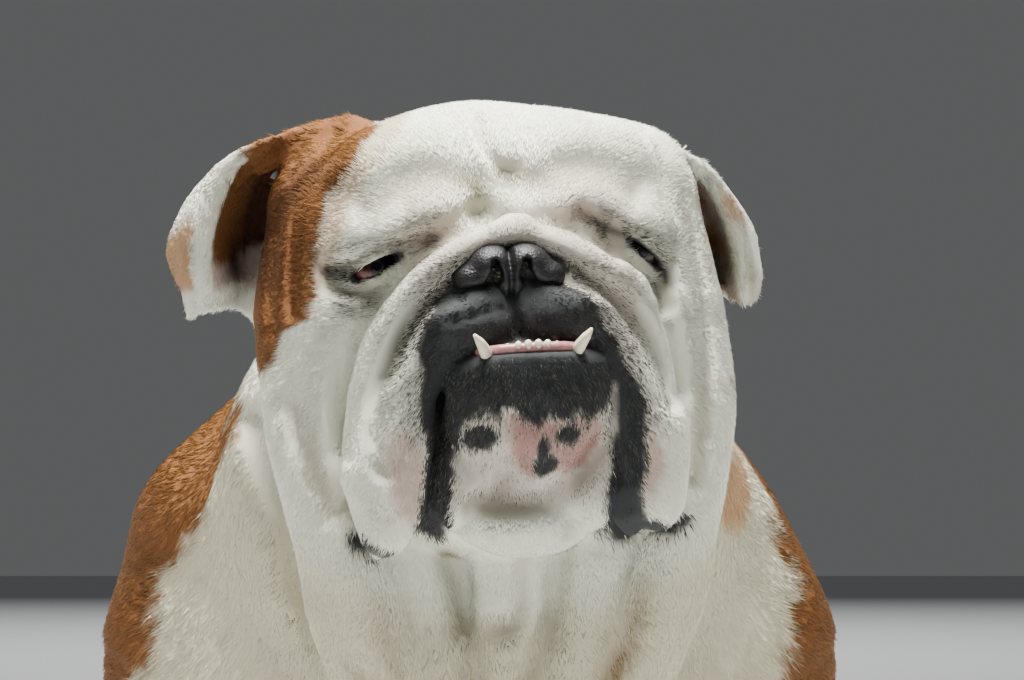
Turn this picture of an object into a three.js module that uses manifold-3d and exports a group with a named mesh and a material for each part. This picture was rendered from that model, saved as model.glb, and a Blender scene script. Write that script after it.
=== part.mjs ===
// A life-size English bulldog, standing square on the floor with its head raised and turned a little to its left.
// Millimetres, +Z up. The dog looks along -Y, so +X is its left side. The origin is on the floor, under the middle
// of the dog's outline. Soft parts are blended forms that are meshed, then parted with thin straight cuts.
import * as THREE from "three";
import { mergeVertices } from "three/addons/utils/BufferGeometryUtils.js";
import Module from "manifold-3d";

const wasm = await Module();
wasm.setup();

// Driving dimensions
const WITHERS = 385; // height of the shoulders' top
const FORE_Y = 5; // where the forelegs stand
const HIND_Y = 266; // where the hind paws stand
const FORE_X = 118; // half the distance between the forelegs
const HIND_X = 92; // half the distance between the hind legs
const GAP = 0.3; // what two neighbouring pieces keep between them
const HEAD_AT = [16.5, -165, 408]; // middle of the head, between the eyes
const HEAD_TURN = 8; // degrees to the dog's left
const HEAD_ROLL = 3; // degrees, its left side up
const SKULL_ASIDE = -1.5; // how far each part of the head sits to the dog's left of the head's middle
const MUZZLE_ASIDE = -1;
const MUZZLE_TILT = 0.05; // how much higher the muzzle's left side sits, per mm across
const JAW_ASIDE = 4;
const NOSE_ASIDE = -2.6;
const EYES = [
  [-57, 4, 1],
  [57.5, 4, 3.5],
]; // right, left
const EYE_R = 12;
const LID_R = 15;
const EAR_THICK = 5.2;
const CANINE_R = 3.7;
const INCISORS = 6;
const INCISOR_STEP = 4.2;
const FORE_PAW_TOP = 46; // height of the cut over the forepaw
const HIND_PAW_TOP = 44;
const HOCK_TOP = 116;
// Cuts: y and z of a point in the plane, then the y and z of its facing
const HEAD_CUT = [-128, 300, -0.8, 0.6];
const NECK_CUT = [-110, 235, -0.74, 0.67];
const TAIL_CUT = [HIND_Y + 70, 300, 0.97, 0.26];

// Blending of forms. A form is a function of x, y and z that is negative inside, about the distance in mm.
function smoothMin(a, b, k) {
  const h = Math.max(k - Math.abs(a - b), 0) / k;
  return Math.min(a, b) - (h * h * k) / 4;
}

function smoothStep(low, high, t) {
  const s = Math.min(Math.max((t - low) / (high - low), 0), 1);
  return s * s * (3 - 2 * s);
}

// A bump of height 1 at 0 that fades out smoothly at about twice the width.
function hump(distance, width) {
  return Math.exp(-((distance / width) ** 2));
}

// An egg or ball of three radii, turned by three angles in degrees.
function egg(centre, radii, turn = [0, 0, 0]) {
  const m = new THREE.Matrix4()
    .makeRotationFromEuler(new THREE.Euler(...turn.map(THREE.MathUtils.degToRad)))
    .transpose().elements;
  const [cx, cy, cz] = centre;
  const [rx, ry, rz] = radii;
  return (x, y, z) => {
    const u = x - cx;
    const v = y - cy;
    const w = z - cz;
    const a = (m[0] * u + m[4] * v + m[8] * w) / rx;
    const b = (m[1] * u + m[5] * v + m[9] * w) / ry;
    const c = (m[2] * u + m[6] * v + m[10] * w) / rz;
    const length = Math.hypot(a, b, c);
    const slope = Math.hypot(a / rx, b / ry, c / rz);
    return slope > 1e-9 ? (length * (length - 1)) / slope : -Math.min(rx, ry, rz);
  };
}

// A smooth line through points [x, y, z].
function smoothLine(points) {
  return new THREE.CatmullRomCurve3(points.map(([x, y, z]) => new THREE.Vector3(x, y, z)), false, "catmullrom", 0.5);
}

// A round bar of changing thickness on a smooth line through stations [x, y, z, radius].
function bar(stations, perSpan = 4) {
  const line = smoothLine(stations);
  const count = (stations.length - 1) * perSpan;
  const points = [];
  for (let i = 0; i <= count; i++) {
    const t = i / count;
    const at = line.getPoint(t);
    const span = Math.min(Math.floor(i / perSpan), stations.length - 2);
    const share = i / perSpan - span;
    const r = stations[span][3] * (1 - share) + stations[span + 1][3] * share;
    points.push([at.x, at.y, at.z, r]);
  }
  const middle = new THREE.Box3().setFromPoints(points.map((p) => new THREE.Vector3(...p))).getCenter(new THREE.Vector3());
  const reach = Math.max(...points.map((p) => Math.hypot(p[0] - middle.x, p[1] - middle.y, p[2] - middle.z) + p[3]));
  return (x, y, z) => {
    const away = Math.hypot(x - middle.x, y - middle.y, z - middle.z) - reach;
    if (away > 40) return away;
    let best = Infinity;
    for (let i = 0; i < count; i++) {
      const [ax, ay, az, ar] = points[i];
      const [bx, by, bz, br] = points[i + 1];
      const dx = bx - ax;
      const dy = by - ay;
      const dz = bz - az;
      const along = ((x - ax) * dx + (y - ay) * dy + (z - az) * dz) / (dx * dx + dy * dy + dz * dz);
      const t = Math.min(Math.max(along, 0), 1);
      const d = Math.hypot(x - ax - dx * t, y - ay - dy * t, z - az - dz * t) - ar - (br - ar) * t;
      if (d < best) best = d;
    }
    return best;
  };
}

// Head, in its own frame: origin between the eyes, x to the dog's left, y backwards, z up
const skullLobe = egg([34, 50, 14], [55, 76, 54]);
const crown = egg([-7, 20, 40], [44, 34, 34.5]);
const temple = egg([76, 44, 14], [21, 32, 42]);
const earBase = egg([64, 44, 40], [32, 26, 21], [0, 30, 0]);
const cheek = egg([66, 52, -34], [41, 52, 60]);
const throat = egg([0, 34, -80], [74, 58, 54]);
const underEye = egg([62, 16, -24], [28, 24, 27]);
const foreheadFold = egg([36, 14, 48], [40, 24, 19], [0, 8, 0]);
const brow = egg([40, 5, 18], [40, 23, 18], [0, 12, 0]);
const muzzleCore = egg([0, -10, -24], [44, 30, 34]);
const lipCushion = egg([21, -26, -24], [23, 20, 18]);
const flewRoot = bar([
  [32, -24, -28, 14],
  [47, -20, -50, 15],
  [56, -14, -78, 18],
  [57, -10, -98, 17],
]);
const flew = egg([58, -10, -84], [21, 22, 40], [0, -5, 0]);
const noseRoll = bar([
  [0, -27, 14, 8],
  [18, -28, 11, 9],
  [35, -26, 1, 10],
  [49, -22, -14, 11],
  [59, -17, -31, 12],
  [65, -12, -52, 12.5],
  [68, -8, -72, 12],
  [68, -6, -90, 10],
]);
const cheekRoll = bar([
  [78, 10, -26, 12],
  [83, 8, -52, 12],
  [84, 7, -78, 12],
  [80, 9, -104, 13],
  [70, 16, -134, 15],
  [58, 30, -166, 17],
  [46, 46, -200, 16],
]);
const jowlRoll = bar([
  [87, 32, -32, 17],
  [92, 25, -62, 16],
  [88, 21, -92, 15.5],
  [81, 25, -122, 16],
  [74, 35, -152, 18],
  [62, 50, -184, 18],
  [50, 66, -214, 16],
]);

// The left flew's lip is turned out at its lower end.
const lipTurnedOut = bar([
  [43, -20, -104, 6],
  [45, -17, -112, 8],
  [48, -14, -119, 6],
]);

// The muzzle tilts a little, but the flews hang straight down.
const muzzleForm = (x, y, zed) => {
  const s = Math.abs(x - MUZZLE_ASIDE);
  const z = zed - MUZZLE_TILT * x * smoothStep(-110, -60, zed);
  let d = smoothMin(muzzleCore(s, y, z), lipCushion(s, y, z), 8);
  d = smoothMin(d, flewRoot(s, y, z), 9);
  d = smoothMin(d, flew(s, y, z), 9);
  d = smoothMin(d, lipTurnedOut(x, y, zed), 4);
  return smoothMin(d, noseRoll(s, y, z), 3.5);
};

const skullForm = (x, y, z) => {
  const s = Math.abs(x - SKULL_ASIDE);
  let d = smoothMin(skullLobe(s, y, z), crown(x, y, z), 18);
  d = smoothMin(d, temple(s, y, z), 16);
  d = smoothMin(d, earBase(s, y, z), 12);
  d = smoothMin(d, cheek(s, y, z), 18);
  d = smoothMin(d, throat(s, y, z), 18);
  d = smoothMin(d, underEye(s, y, z), 14);
  d = smoothMin(d, foreheadFold(s, y, z), 10);
  d = smoothMin(d, brow(s, y, z), 9);
  d = smoothMin(d, cheekRoll(s, y, z), 9);
  return smoothMin(d, jowlRoll(s, y, z), 12);
};

const lidBalls = EYES.map((at) => egg(at, [LID_R, LID_R, LID_R]));

const headForm = (x, y, z) => {
  const d = smoothMin(skullForm(x, y, z), muzzleForm(x, y, z), 4);
  return smoothMin(d, Math.min(...lidBalls.map((lid) => lid(x, y, z))), 5);
};

const chinMound = egg([0, -25, -64], [37, 27, 30]);
const chinTop = egg([0, -25.5, -46], [37, 25.5, 13]);
const lowerLip = bar([
  [29, -36, -44, 2.6],
  [15, -47.5, -42.6, 2.8],
  [0, -50.5, -42.2, 2.8],
]);
const jawBase = egg([0, -2, -90], [44, 30, 42]);
const sidePad = egg([31, -12, -96], [13, 17, 24], [0, 4, 0]);
const throatPad = egg([-4, -11, -111], [22, 22, 15]);

const jawForm = (x, y, z) => {
  const s = Math.abs(x - JAW_ASIDE);
  let d = smoothMin(chinMound(s, y, z), chinTop(s, y, z), 12);
  d = smoothMin(d, jawBase(s, y, z), 14);
  d = smoothMin(d, sidePad(s, y, z), 5);
  d = smoothMin(d, throatPad(x, y, z), 4);
  return smoothMin(d, lowerLip(s, y, z), 3);
};

// Nose leather and the gum of the lower teeth
const noseBody = egg([7.5, -30, -1.5], [11, 13, 9.5]);
const noseWing = egg([15.5, -28, -6.5], [9.5, 12.5, 7.5]);
const noseTip = egg([0, -31, -8], [8, 10, 9]);

const noseForm = (x, y, z) => {
  const s = Math.abs(x - NOSE_ASIDE);
  let d = smoothMin(noseBody(s, y, z), noseWing(s, y, z), 3);
  d = smoothMin(d, noseTip(s, y, z), 4);
  return d + 1.8 * hump(s, 1.6) * smoothStep(-30, -36, y);
};

const gumLine = bar([
  [22, -39, -39, 2.9],
  [14, -45.5, -38.2, 2.9],
  [0, -48, -37.8, 2.9],
]);
const gumForm = (x, y, z) => gumLine(Math.abs(x - JAW_ASIDE), y, z);

// The ears' leaves, by stations from the top to the tip: root, cup, rim and flap edge, in the head's frame
const EARS = [
  [
    [[62, 40, 52], [77, 56, 64], [92, 38, 62], [102, 50, 54]],
    [[74, 56, 44], [94, 70, 48], [115, 40, 51], [127, 56, 41]],
    [[84, 64, 30], [104, 80, 27], [127, 40, 27], [141, 60, 18]],
    [[88, 68, 12], [108, 80, 8], [129, 44, 8], [140, 60, 6]],
    [[92, 66, -10], [107, 74, -6], [128, 50, -3], [136, 59, -4]],
    [[97, 62, -25], [112, 66, -12], [131, 56, -13], [134, 60, -15]],
  ],
  [
    [[54, 37, 47], [68, 50, 57], [75, 30, 54], [83, 44, 47]],
    [[68, 54, 41], [84, 64, 43], [94, 34, 42], [104, 50, 34]],
    [[80, 64, 26], [100, 82, 26], [108, 40, 22], [120, 58, 13]],
    [[85, 66, 10], [106, 84, 5], [114.5, 43, 2], [123.5, 60, -2]],
    [[91, 66, -5], [107, 78, -8], [116, 46, -12], [123.5, 58, -12]],
    [[104, 62, -15], [111, 64, -19], [117, 54, -23], [121, 58, -22]],
  ],
];

function earLeaf(stations, side) {
  const across = 10;
  const along = 8;
  const rows = stations.map(smoothLine);
  const at = (u, v) => smoothLine(rows.map((row) => row.getPoint(u).toArray())).getPoint(v);
  const positions = [];
  for (const offset of [EAR_THICK / 2, -EAR_THICK / 2])
    for (let j = 0; j <= along; j++)
      for (let i = 0; i <= across; i++) {
        const u = i / across;
        const v = j / along;
        const e = 0.02;
        const du = at(Math.min(u + e, 1), v).sub(at(Math.max(u - e, 0), v));
        const dv = at(u, Math.min(v + e, 1)).sub(at(u, Math.max(v - e, 0)));
        const normal = du.cross(dv).normalize();
        const p = at(u, v).addScaledVector(normal, offset);
        positions.push(side * p.x, p.y, p.z);
      }
  const wide = across + 1;
  const layer = wide * (along + 1);
  const faces = [];
  const quad = (a, b, c, d) => faces.push(a, b, c, a, c, d);
  for (let j = 0; j < along; j++)
    for (let i = 0; i < across; i++) {
      const n = j * wide + i;
      quad(n, n + 1, n + wide + 1, n + wide);
      quad(layer + n, layer + n + wide, layer + n + wide + 1, layer + n + 1);
    }
  const rim = [];
  for (let i = 0; i < across; i++) rim.push(i);
  for (let j = 0; j < along; j++) rim.push(j * wide + across);
  for (let i = across; i > 0; i--) rim.push(along * wide + i);
  for (let j = along; j > 0; j--) rim.push(j * wide);
  rim.forEach((a, n) => {
    const b = rim[(n + 1) % rim.length];
    quad(a, layer + a, layer + b, b);
  });
  if (side < 0) for (let n = 0; n < faces.length; n += 3) [faces[n], faces[n + 1]] = [faces[n + 1], faces[n]];
  return carried(closed(positions, faces), headFrame);
}

// The head's frame in the dog's
const headFrame = new THREE.Matrix4()
  .makeRotationZ(THREE.MathUtils.degToRad(HEAD_TURN))
  .premultiply(new THREE.Matrix4().makeRotationY(THREE.MathUtils.degToRad(-HEAD_ROLL)))
  .setPosition(...HEAD_AT);
const intoHead = headFrame.clone().invert().elements;

function onHead(form) {
  const m = intoHead;
  return (x, y, z) =>
    form(
      m[0] * x + m[4] * y + m[8] * z + m[12],
      m[1] * x + m[5] * y + m[9] * z + m[13],
      m[2] * x + m[6] * y + m[10] * z + m[14],
    );
}

// Body, in the dog's frame, before the origin moves under the outline's middle
const ribs = egg([0, 80, 254], [132, 158, 118]);
const loin = egg([0, 180, 286], [98, 122, 88]);
const rump = egg([0, 262, 272], [100, 80, 86]);
const withers = egg([0, 50, WITHERS - 42], [80, 92, 42]);
const foreChest = egg([0, -42, 222], [112, 64, 84]);
const ruff = egg([8, -60, 294], [108, 70, 78]);
const jowlBack = egg([56, -64, 308], [58, 60, 70]);
const shoulderTop = egg([83, 12, 283], [72, 80, 56], [0, 20, 0]);
const rightShoulderTop = egg([-109, 8, 293], [52, 60, 40], [0, -30, 0]);
const shoulder = egg([94, 13, 200], [61, 86, 104], [0, -12, 0]);
const thigh = egg([80, 252, 214], [50, 74, 94]);
const neckBar = bar([
  [0, 60, 300, 104],
  [4, -20, 335, 95],
  [11, -70, 362, 84],
  [14, -110, 382, 74],
]);
const dewlapRight = bar([
  [-50, -126, 322, 32],
  [-38, -126, 288, 33],
  [-30, -116, 252, 34],
  [-24, -98, 212, 40],
]);
const dewlapLeft = bar([
  [62, -126, 322, 28],
  [58, -124, 288, 28],
  [52, -114, 252, 30],
  [44, -96, 212, 38],
]);
const dewlapMiddle = bar([
  [20, -140, 300, 22],
  [19, -136, 266, 19],
  [20, -118, 228, 28],
]);
const foreLeg = bar([
  [FORE_X - 6, FORE_Y + 8, 225, 64],
  [FORE_X + 4, FORE_Y + 18, 172, 46],
  [FORE_X + 1, FORE_Y + 6, 115, 35],
  [FORE_X, FORE_Y, 62, 30],
  [FORE_X + 1, FORE_Y - 8, 34, 29],
], 8);
const hindLeg = bar([
  [82, HIND_Y - 22, 225, 68],
  [95, HIND_Y - 50, 166, 47],
  [95, HIND_Y - 8, 126, 33],
  [HIND_X, HIND_Y + 32, 98, 26],
  [HIND_X, HIND_Y + 24, 56, 25],
  [HIND_X, HIND_Y + 10, 30, 26],
], 8);
const tailBar = bar([
  [0, HIND_Y + 50, 304, 28],
  [0, HIND_Y + 80, 288, 20],
  [3, HIND_Y + 94, 266, 14],
  [7, HIND_Y + 101, 244, 10],
  [10, HIND_Y + 105, 228, 6],
]);

// A paw: a heel pad and four arched toes, its middle at (x, y) on the floor
function pawForm(px, py, width, length) {
  const heel = egg([px, py + length * 0.18, 20], [width * 0.42, length * 0.36, 24]);
  const toes = [-1.5, -0.5, 0.5, 1.5].map((i) => {
    const tx = px + i * width * 0.235;
    const ty = py - length * (Math.abs(i) < 1 ? 0.26 : 0.14);
    return egg([tx, ty, 15], [width * 0.145, length * 0.27, 17], [8, 0, -i * 4]);
  });
  return (x, y, z) => {
    let d = heel(x, y, z);
    for (const toe of toes) d = smoothMin(d, toe(x, y, z), 4);
    return d;
  };
}
const forePaw = pawForm(FORE_X + 2, FORE_Y - 20, 76, 84);
const hindPaw = pawForm(HIND_X, HIND_Y - 2, 64, 78);

const bodyForm = (x, y, z) => {
  const s = Math.abs(x);
  let d = smoothMin(ribs(s, y, z), loin(s, y, z), 60);
  d = smoothMin(d, rump(s, y, z), 50);
  d = smoothMin(d, withers(s, y, z), 50);
  d = smoothMin(d, foreChest(s, y, z), 40);
  d = smoothMin(d, ruff(x, y, z), 30);
  d = smoothMin(d, jowlBack(s, y, z), 30);
  d = smoothMin(d, shoulderTop(s, y, z), 30);
  d = smoothMin(d, rightShoulderTop(x, y, z), 24);
  d = smoothMin(d, shoulder(s, y, z), 30);
  d = smoothMin(d, thigh(s, y, z), 34);
  d = smoothMin(d, neckBar(x, y, z), 50);
  d = smoothMin(d, dewlapRight(x, y, z), 12);
  d = smoothMin(d, dewlapLeft(x, y, z), 12);
  d = smoothMin(d, dewlapMiddle(x, y, z), 9);
  d = smoothMin(d, foreLeg(s, y, z), 22);
  d = smoothMin(d, forePaw(s, y, z), 14);
  d = smoothMin(d, hindLeg(s, y, z), 22);
  d = smoothMin(d, hindPaw(s, y, z), 14);
  return smoothMin(d, tailBar(x, y, z), 16);
};

function floorTo(height) {
  return block([-400, -400, -400], [400, 800, height]);
}

const placedHead = onHead(headForm);
const dogForm = (x, y, z) => smoothMin(bodyForm(x, y, z), placedHead(x, y, z), 7);

// Grid lines along one axis: spaced([from, step, to, step, to, ...]).
function spaced(list) {
  const lines = [list[0]];
  for (let n = 1; n + 1 < list.length; n += 2) {
    const from = lines[lines.length - 1];
    const count = Math.max(1, Math.round((list[n + 1] - from) / list[n]));
    for (let i = 1; i <= count; i++) lines.push(from + ((list[n + 1] - from) * i) / count);
  }
  return lines;
}

// Meshes a form on a grid: one vertex in each cell that the surface crosses, joined across the crossed edges.
function meshed(form, xs, ys, zs) {
  const lines = [xs, ys, zs];
  const [nx, ny, nz] = lines.map((line) => line.length);
  const index = (i, j, k) => (k * ny + j) * nx + i;
  const value = new Float32Array(nx * ny * nz);
  for (let k = 0; k < nz; k++)
    for (let j = 0; j < ny; j++)
      for (let i = 0; i < nx; i++) {
        const rim = i === 0 || j === 0 || k === 0 || i === nx - 1 || j === ny - 1 || k === nz - 1;
        const d = form(xs[i], ys[j], zs[k]);
        value[index(i, j, k)] = rim ? Math.max(d, 1) : d || 1e-6;
      }
  while (partCorners(value, [nx, ny, nz]));
  const vertexOf = new Map();
  const positions = [];
  const reaches = [];
  const corners = [];
  for (let c = 0; c < 8; c++) corners.push([c & 1, (c >> 1) & 1, (c >> 2) & 1]);
  for (let k = 0; k + 1 < nz; k++)
    for (let j = 0; j + 1 < ny; j++)
      for (let i = 0; i + 1 < nx; i++) {
        const d = corners.map(([a, b, c]) => value[index(i + a, j + b, k + c)]);
        const sum = [0, 0, 0];
        let crossings = 0;
        for (let c = 0; c < 8; c++)
          for (let axis = 0; axis < 3; axis++) {
            const other = c | (1 << axis);
            if (other === c || d[c] < 0 === d[other] < 0) continue;
            const t = d[c] / (d[c] - d[other]);
            for (let n = 0; n < 3; n++) sum[n] += corners[c][n] + (n === axis ? t : 0);
            crossings++;
          }
        if (!crossings) continue;
        vertexOf.set(index(i, j, k), reaches.length);
        const sizes = [i, j, k].map((cell, n) => lines[n][cell + 1] - lines[n][cell]);
        [i, j, k].forEach((cell, n) => positions.push(lines[n][cell] + (sum[n] / crossings) * sizes[n]));
        reaches.push(Math.min(...sizes) / 3);
      }
  const faces = [];
  const sides = [
    [1, 0, 0],
    [0, 1, 0],
    [0, 0, 1],
  ];
  for (let k = 0; k + 1 < nz; k++)
    for (let j = 0; j + 1 < ny; j++)
      for (let i = 0; i + 1 < nx; i++)
        sides.forEach((along, axis) => {
          const here = value[index(i, j, k)] < 0;
          const there = value[index(i + along[0], j + along[1], k + along[2])] < 0;
          if (here === there) return;
          const u = sides[(axis + 1) % 3];
          const v = sides[(axis + 2) % 3];
          const cell = (a, b) =>
            vertexOf.get(index(i - a * u[0] - b * v[0], j - a * u[1] - b * v[1], k - a * u[2] - b * v[2]));
          const ring = [cell(1, 1), cell(0, 1), cell(0, 0), cell(1, 0)];
          if (!here) ring.reverse();
          const at = ring.map((n) => new THREE.Vector3().fromArray(positions, n * 3));
          if (at[0].distanceTo(at[2]) > at[1].distanceTo(at[3])) ring.push(ring.shift());
          faces.push(ring[0], ring[1], ring[2], ring[0], ring[2], ring[3]);
        });
  drawOn(form, positions, reaches);
  return closed(positions, faces);
}

// Where two sheets cross one square of the grid, moves its corner nearest to the surface to the other side.
function partCorners(value, [nx, ny, nz]) {
  const steps = [1, nx, nx * ny];
  const beyondSurface = 0.4;
  let moved = 0;
  for (let k = 1; k + 2 < nz; k++)
    for (let j = 1; j + 2 < ny; j++)
      for (let i = 1; i + 2 < nx; i++)
        for (let axis = 0; axis < 3; axis++) {
          const here = (k * ny + j) * nx + i;
          const u = steps[(axis + 1) % 3];
          const v = steps[(axis + 2) % 3];
          const square = [here, here + u, here + v, here + u + v];
          const [a, b, c, d] = square.map((n) => value[n] < 0);
          if (a !== d || b !== c || a === b) continue;
          const nearest = square.sort((m, n) => Math.abs(value[m]) - Math.abs(value[n]))[0];
          value[nearest] = value[nearest] < 0 ? beyondSurface : -beyondSurface;
          moved++;
        }
  return moved;
}

// Moves each vertex towards the form's surface, no further than its reach.
function drawOn(form, positions, reaches) {
  const e = 0.5;
  reaches.forEach((reach, n) => {
    const [x, y, z] = positions.slice(n * 3, n * 3 + 3);
    const gx = form(x + e, y, z) - form(x - e, y, z);
    const gy = form(x, y + e, z) - form(x, y - e, z);
    const gz = form(x, y, z + e) - form(x, y, z - e);
    const slope = Math.hypot(gx, gy, gz) || 1;
    const move = THREE.MathUtils.clamp(form(x, y, z), -reach, reach) / slope;
    positions[n * 3] -= gx * move;
    positions[n * 3 + 1] -= gy * move;
    positions[n * 3 + 2] -= gz * move;
  });
}

function closed(positions, faces) {
  return new wasm.Manifold(
    new wasm.Mesh({ numProp: 3, vertProperties: new Float32Array(positions), triVerts: new Uint32Array(faces) }),
  );
}

// A three.js geometry as a solid.
function solid(geometry, matrix = new THREE.Matrix4()) {
  const plain = geometry.index ? geometry.toNonIndexed() : geometry.clone();
  plain.deleteAttribute("normal");
  plain.deleteAttribute("uv");
  const merged = mergeVertices(plain.applyMatrix4(matrix), 1e-3);
  return closed(merged.attributes.position.array, merged.index.array);
}

// A ball squashed to three radii, turned in degrees, placed, then carried by a frame.
function ball(centre, radii, turn = [0, 0, 0], frame = new THREE.Matrix4(), across = 20, along = 14) {
  const matrix = new THREE.Matrix4().compose(
    new THREE.Vector3(...centre),
    new THREE.Quaternion().setFromEuler(new THREE.Euler(...turn.map(THREE.MathUtils.degToRad))),
    new THREE.Vector3(...radii),
  );
  return solid(new THREE.SphereGeometry(1, across, along), matrix.premultiply(frame));
}

// A pointed tooth from its root to its tip, in the head's frame.
function spike(root, tip, radius) {
  const from = new THREE.Vector3(...root);
  const way = new THREE.Vector3(...tip).sub(from);
  const turn = new THREE.Quaternion().setFromUnitVectors(new THREE.Vector3(0, 1, 0), way.clone().normalize());
  const matrix = new THREE.Matrix4().compose(from.addScaledVector(way, 0.5), turn, new THREE.Vector3(1, 1, 1));
  return solid(new THREE.ConeGeometry(radius, way.length(), 8), matrix.premultiply(headFrame));
}

function block(low, high, grow = 0) {
  const size = low.map((a, i) => high[i] - a + 2 * grow);
  const middle = low.map((a, i) => (high[i] + a) / 2);
  return solid(new THREE.BoxGeometry(...size), new THREE.Matrix4().makeTranslation(...middle));
}

// Everything on one side of a plane that holds the x axis' direction: through (y, z), facing (ny, nz).
function beyond(y, z, ny, nz, grow = 0) {
  const size = 2000;
  const angle = Math.atan2(nz, ny);
  const matrix = new THREE.Matrix4()
    .makeTranslation(0, y, z)
    .multiply(new THREE.Matrix4().makeRotationX(angle))
    .multiply(new THREE.Matrix4().makeTranslation(0, size / 2 - grow, 0));
  return solid(new THREE.BoxGeometry(size, size, size), matrix);
}

// A solid with its skin moved outwards.
function grown(made, by = GAP) {
  const mesh = made.getMesh();
  const geometry = new THREE.BufferGeometry()
    .setAttribute("position", new THREE.BufferAttribute(new Float32Array(mesh.vertProperties), 3))
    .setIndex(new THREE.BufferAttribute(new Uint32Array(mesh.triVerts), 1));
  geometry.computeVertexNormals();
  const { position, normal } = geometry.attributes;
  const moved = position.array.map((value, i) => value + normal.array[i] * by);
  return closed(moved, mesh.triVerts);
}

// The largest of a solid's separate bodies.
function largest(made) {
  return made.decompose().sort((a, b) => b.volume() - a.volume())[0];
}

function carried(made, frame) {
  const mesh = made.getMesh();
  const at = new THREE.Vector3();
  const moved = [];
  for (let n = 0; n < mesh.numVert; n++)
    moved.push(...at.fromArray(mesh.vertProperties, n * 3).applyMatrix4(frame).toArray());
  return closed(moved, mesh.triVerts);
}

const materials = {
  coat: new THREE.MeshStandardMaterial({ color: 0xd9d6c8, roughness: 0.9, metalness: 0 }),
  brown: new THREE.MeshStandardMaterial({ color: 0x9a6534, roughness: 0.9, metalness: 0 }),
  nose: new THREE.MeshStandardMaterial({ color: 0x2b2d2d, roughness: 0.45, metalness: 0 }),
  lip: new THREE.MeshStandardMaterial({ color: 0x4a4844, roughness: 0.6, metalness: 0 }),
  eye: new THREE.MeshStandardMaterial({ color: 0x1a120c, roughness: 0.1, metalness: 0 }),
};

const dog = new THREE.Group();

// A solid without the slivers that two cuts leave where they nearly meet.
function settled(made) {
  const mesh = largest(made).getMesh();
  const geometry = new THREE.BufferGeometry()
    .setAttribute("position", new THREE.BufferAttribute(new Float32Array(mesh.vertProperties), 3))
    .setIndex(new THREE.BufferAttribute(new Uint32Array(mesh.triVerts), 1));
  const merged = mergeVertices(geometry, 0.02);
  const faces = [];
  for (let n = 0; n < merged.index.count; n += 3) {
    const [a, b, c] = merged.index.array.slice(n, n + 3);
    if (a !== b && b !== c && c !== a) faces.push(a, b, c);
  }
  return largest(closed(merged.attributes.position.array, faces));
}

function addNode(name, made, material) {
  const mesh = settled(made).getMesh();
  const geometry = new THREE.BufferGeometry()
    .setAttribute("position", new THREE.BufferAttribute(new Float32Array(mesh.vertProperties), 3))
    .setIndex(new THREE.BufferAttribute(new Uint32Array(mesh.triVerts), 1));
  geometry.computeVertexNormals();
  const node = new THREE.Mesh(geometry, materials[material]);
  node.name = name;
  dog.add(node);
}

// Eyes: balls that sit behind the lids' slits
const round = (r) => [r, r, r];
const sockets = [];
for (const [n, word] of ["right", "left"].entries()) {
  addNode(`eye_${word}`, ball(EYES[n], round(EYE_R), [90, 0, 0], headFrame, 12, 8), "eye");
  sockets.push(ball(EYES[n], round(EYE_R + GAP), [90, 0, 0], headFrame));
}
// The right eye is half open, the left one nearly closed
const slits = [
  ball([-58.5, -10, 0.3], [11.5, 16, 3.4], [0, -29, 0], headFrame),
  ball([57.5, -10, 3.5], [13, 16, 1.6], [0, 31, 0], headFrame),
];

// Nose leather with its two comma-shaped nostrils
const noseBall = carried(
  meshed(noseForm, spaced([NOSE_ASIDE - 32.5, 5, NOSE_ASIDE + 32.5]), spaced([-52, 5, -8]), spaced([-24, 4.6, 18])),
  headFrame,
);
const nostrils = [-1, 1].map((side) =>
  ball([NOSE_ASIDE + side * 6.8, -43, -5], [2.8, 10, 5.5], [0, 0, 0], headFrame, 8, 5).add(
    ball([NOSE_ASIDE + side * 13.5, -42, -11], [6.5, 10, 1.9], [0, side * 6, 0], headFrame, 8, 5),
  ),
);
addNode("nose", noseBall.subtract(nostrils[0]).subtract(nostrils[1]), "nose");

// Lower jaw: the chin between the flews and the pads under it, with the gum, two tusk-like canines that lean
// outwards over the upper lip, and a row of small incisors between them
const chin = carried(
  meshed(jawForm, spaced([-60, 10, 60]), spaced([-70, 9.5, -13, 14, 43]), spaced([-144, 10, -24])),
  headFrame,
).intersect(carried(block([-80, -90, -160], [80, 6, 0]), headFrame));
const gum = carried(
  meshed(gumForm, spaced([JAW_ASIDE - 30, 4.3, JAW_ASIDE + 30]), spaced([-56, 4.3, -32]), spaced([-46, 4.3, -28])),
  headFrame,
);
const jawParts = [chin, gum];
for (const side of [-1, 1]) {
  jawParts.push(spike([JAW_ASIDE + side * 17, -40, -44], [JAW_ASIDE + side * 25.8, -51.5, -29.5], CANINE_R));
}
for (let i = 0; i < INCISORS; i++) {
  const x = JAW_ASIDE + (i - (INCISORS - 1) / 2) * INCISOR_STEP;
  jawParts.push(ball([x, -48.8, -36], [1.7, 1.7, 2.4], [0, 0, 0], headFrame, 6, 4));
}
addNode("lower_jaw", jawParts.reduce((all, made) => all.add(made)), "coat");

// Cut planes and blocks that part the body
const headSide = (grow) => beyond(...HEAD_CUT, grow);
const neckSide = (grow) => beyond(...NECK_CUT, grow);
const foreBlock = (side, grow) =>
  block([side > 0 ? 62 : -260, -120, -20], [side > 0 ? 260 : -62, 112, 168], grow);
const hindBlock = (side, grow) =>
  block([side > 0 ? 38 : -260, HIND_Y - 92, -20], [side > 0 ? 260 : -38, HIND_Y + 160, 256], grow);

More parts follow.
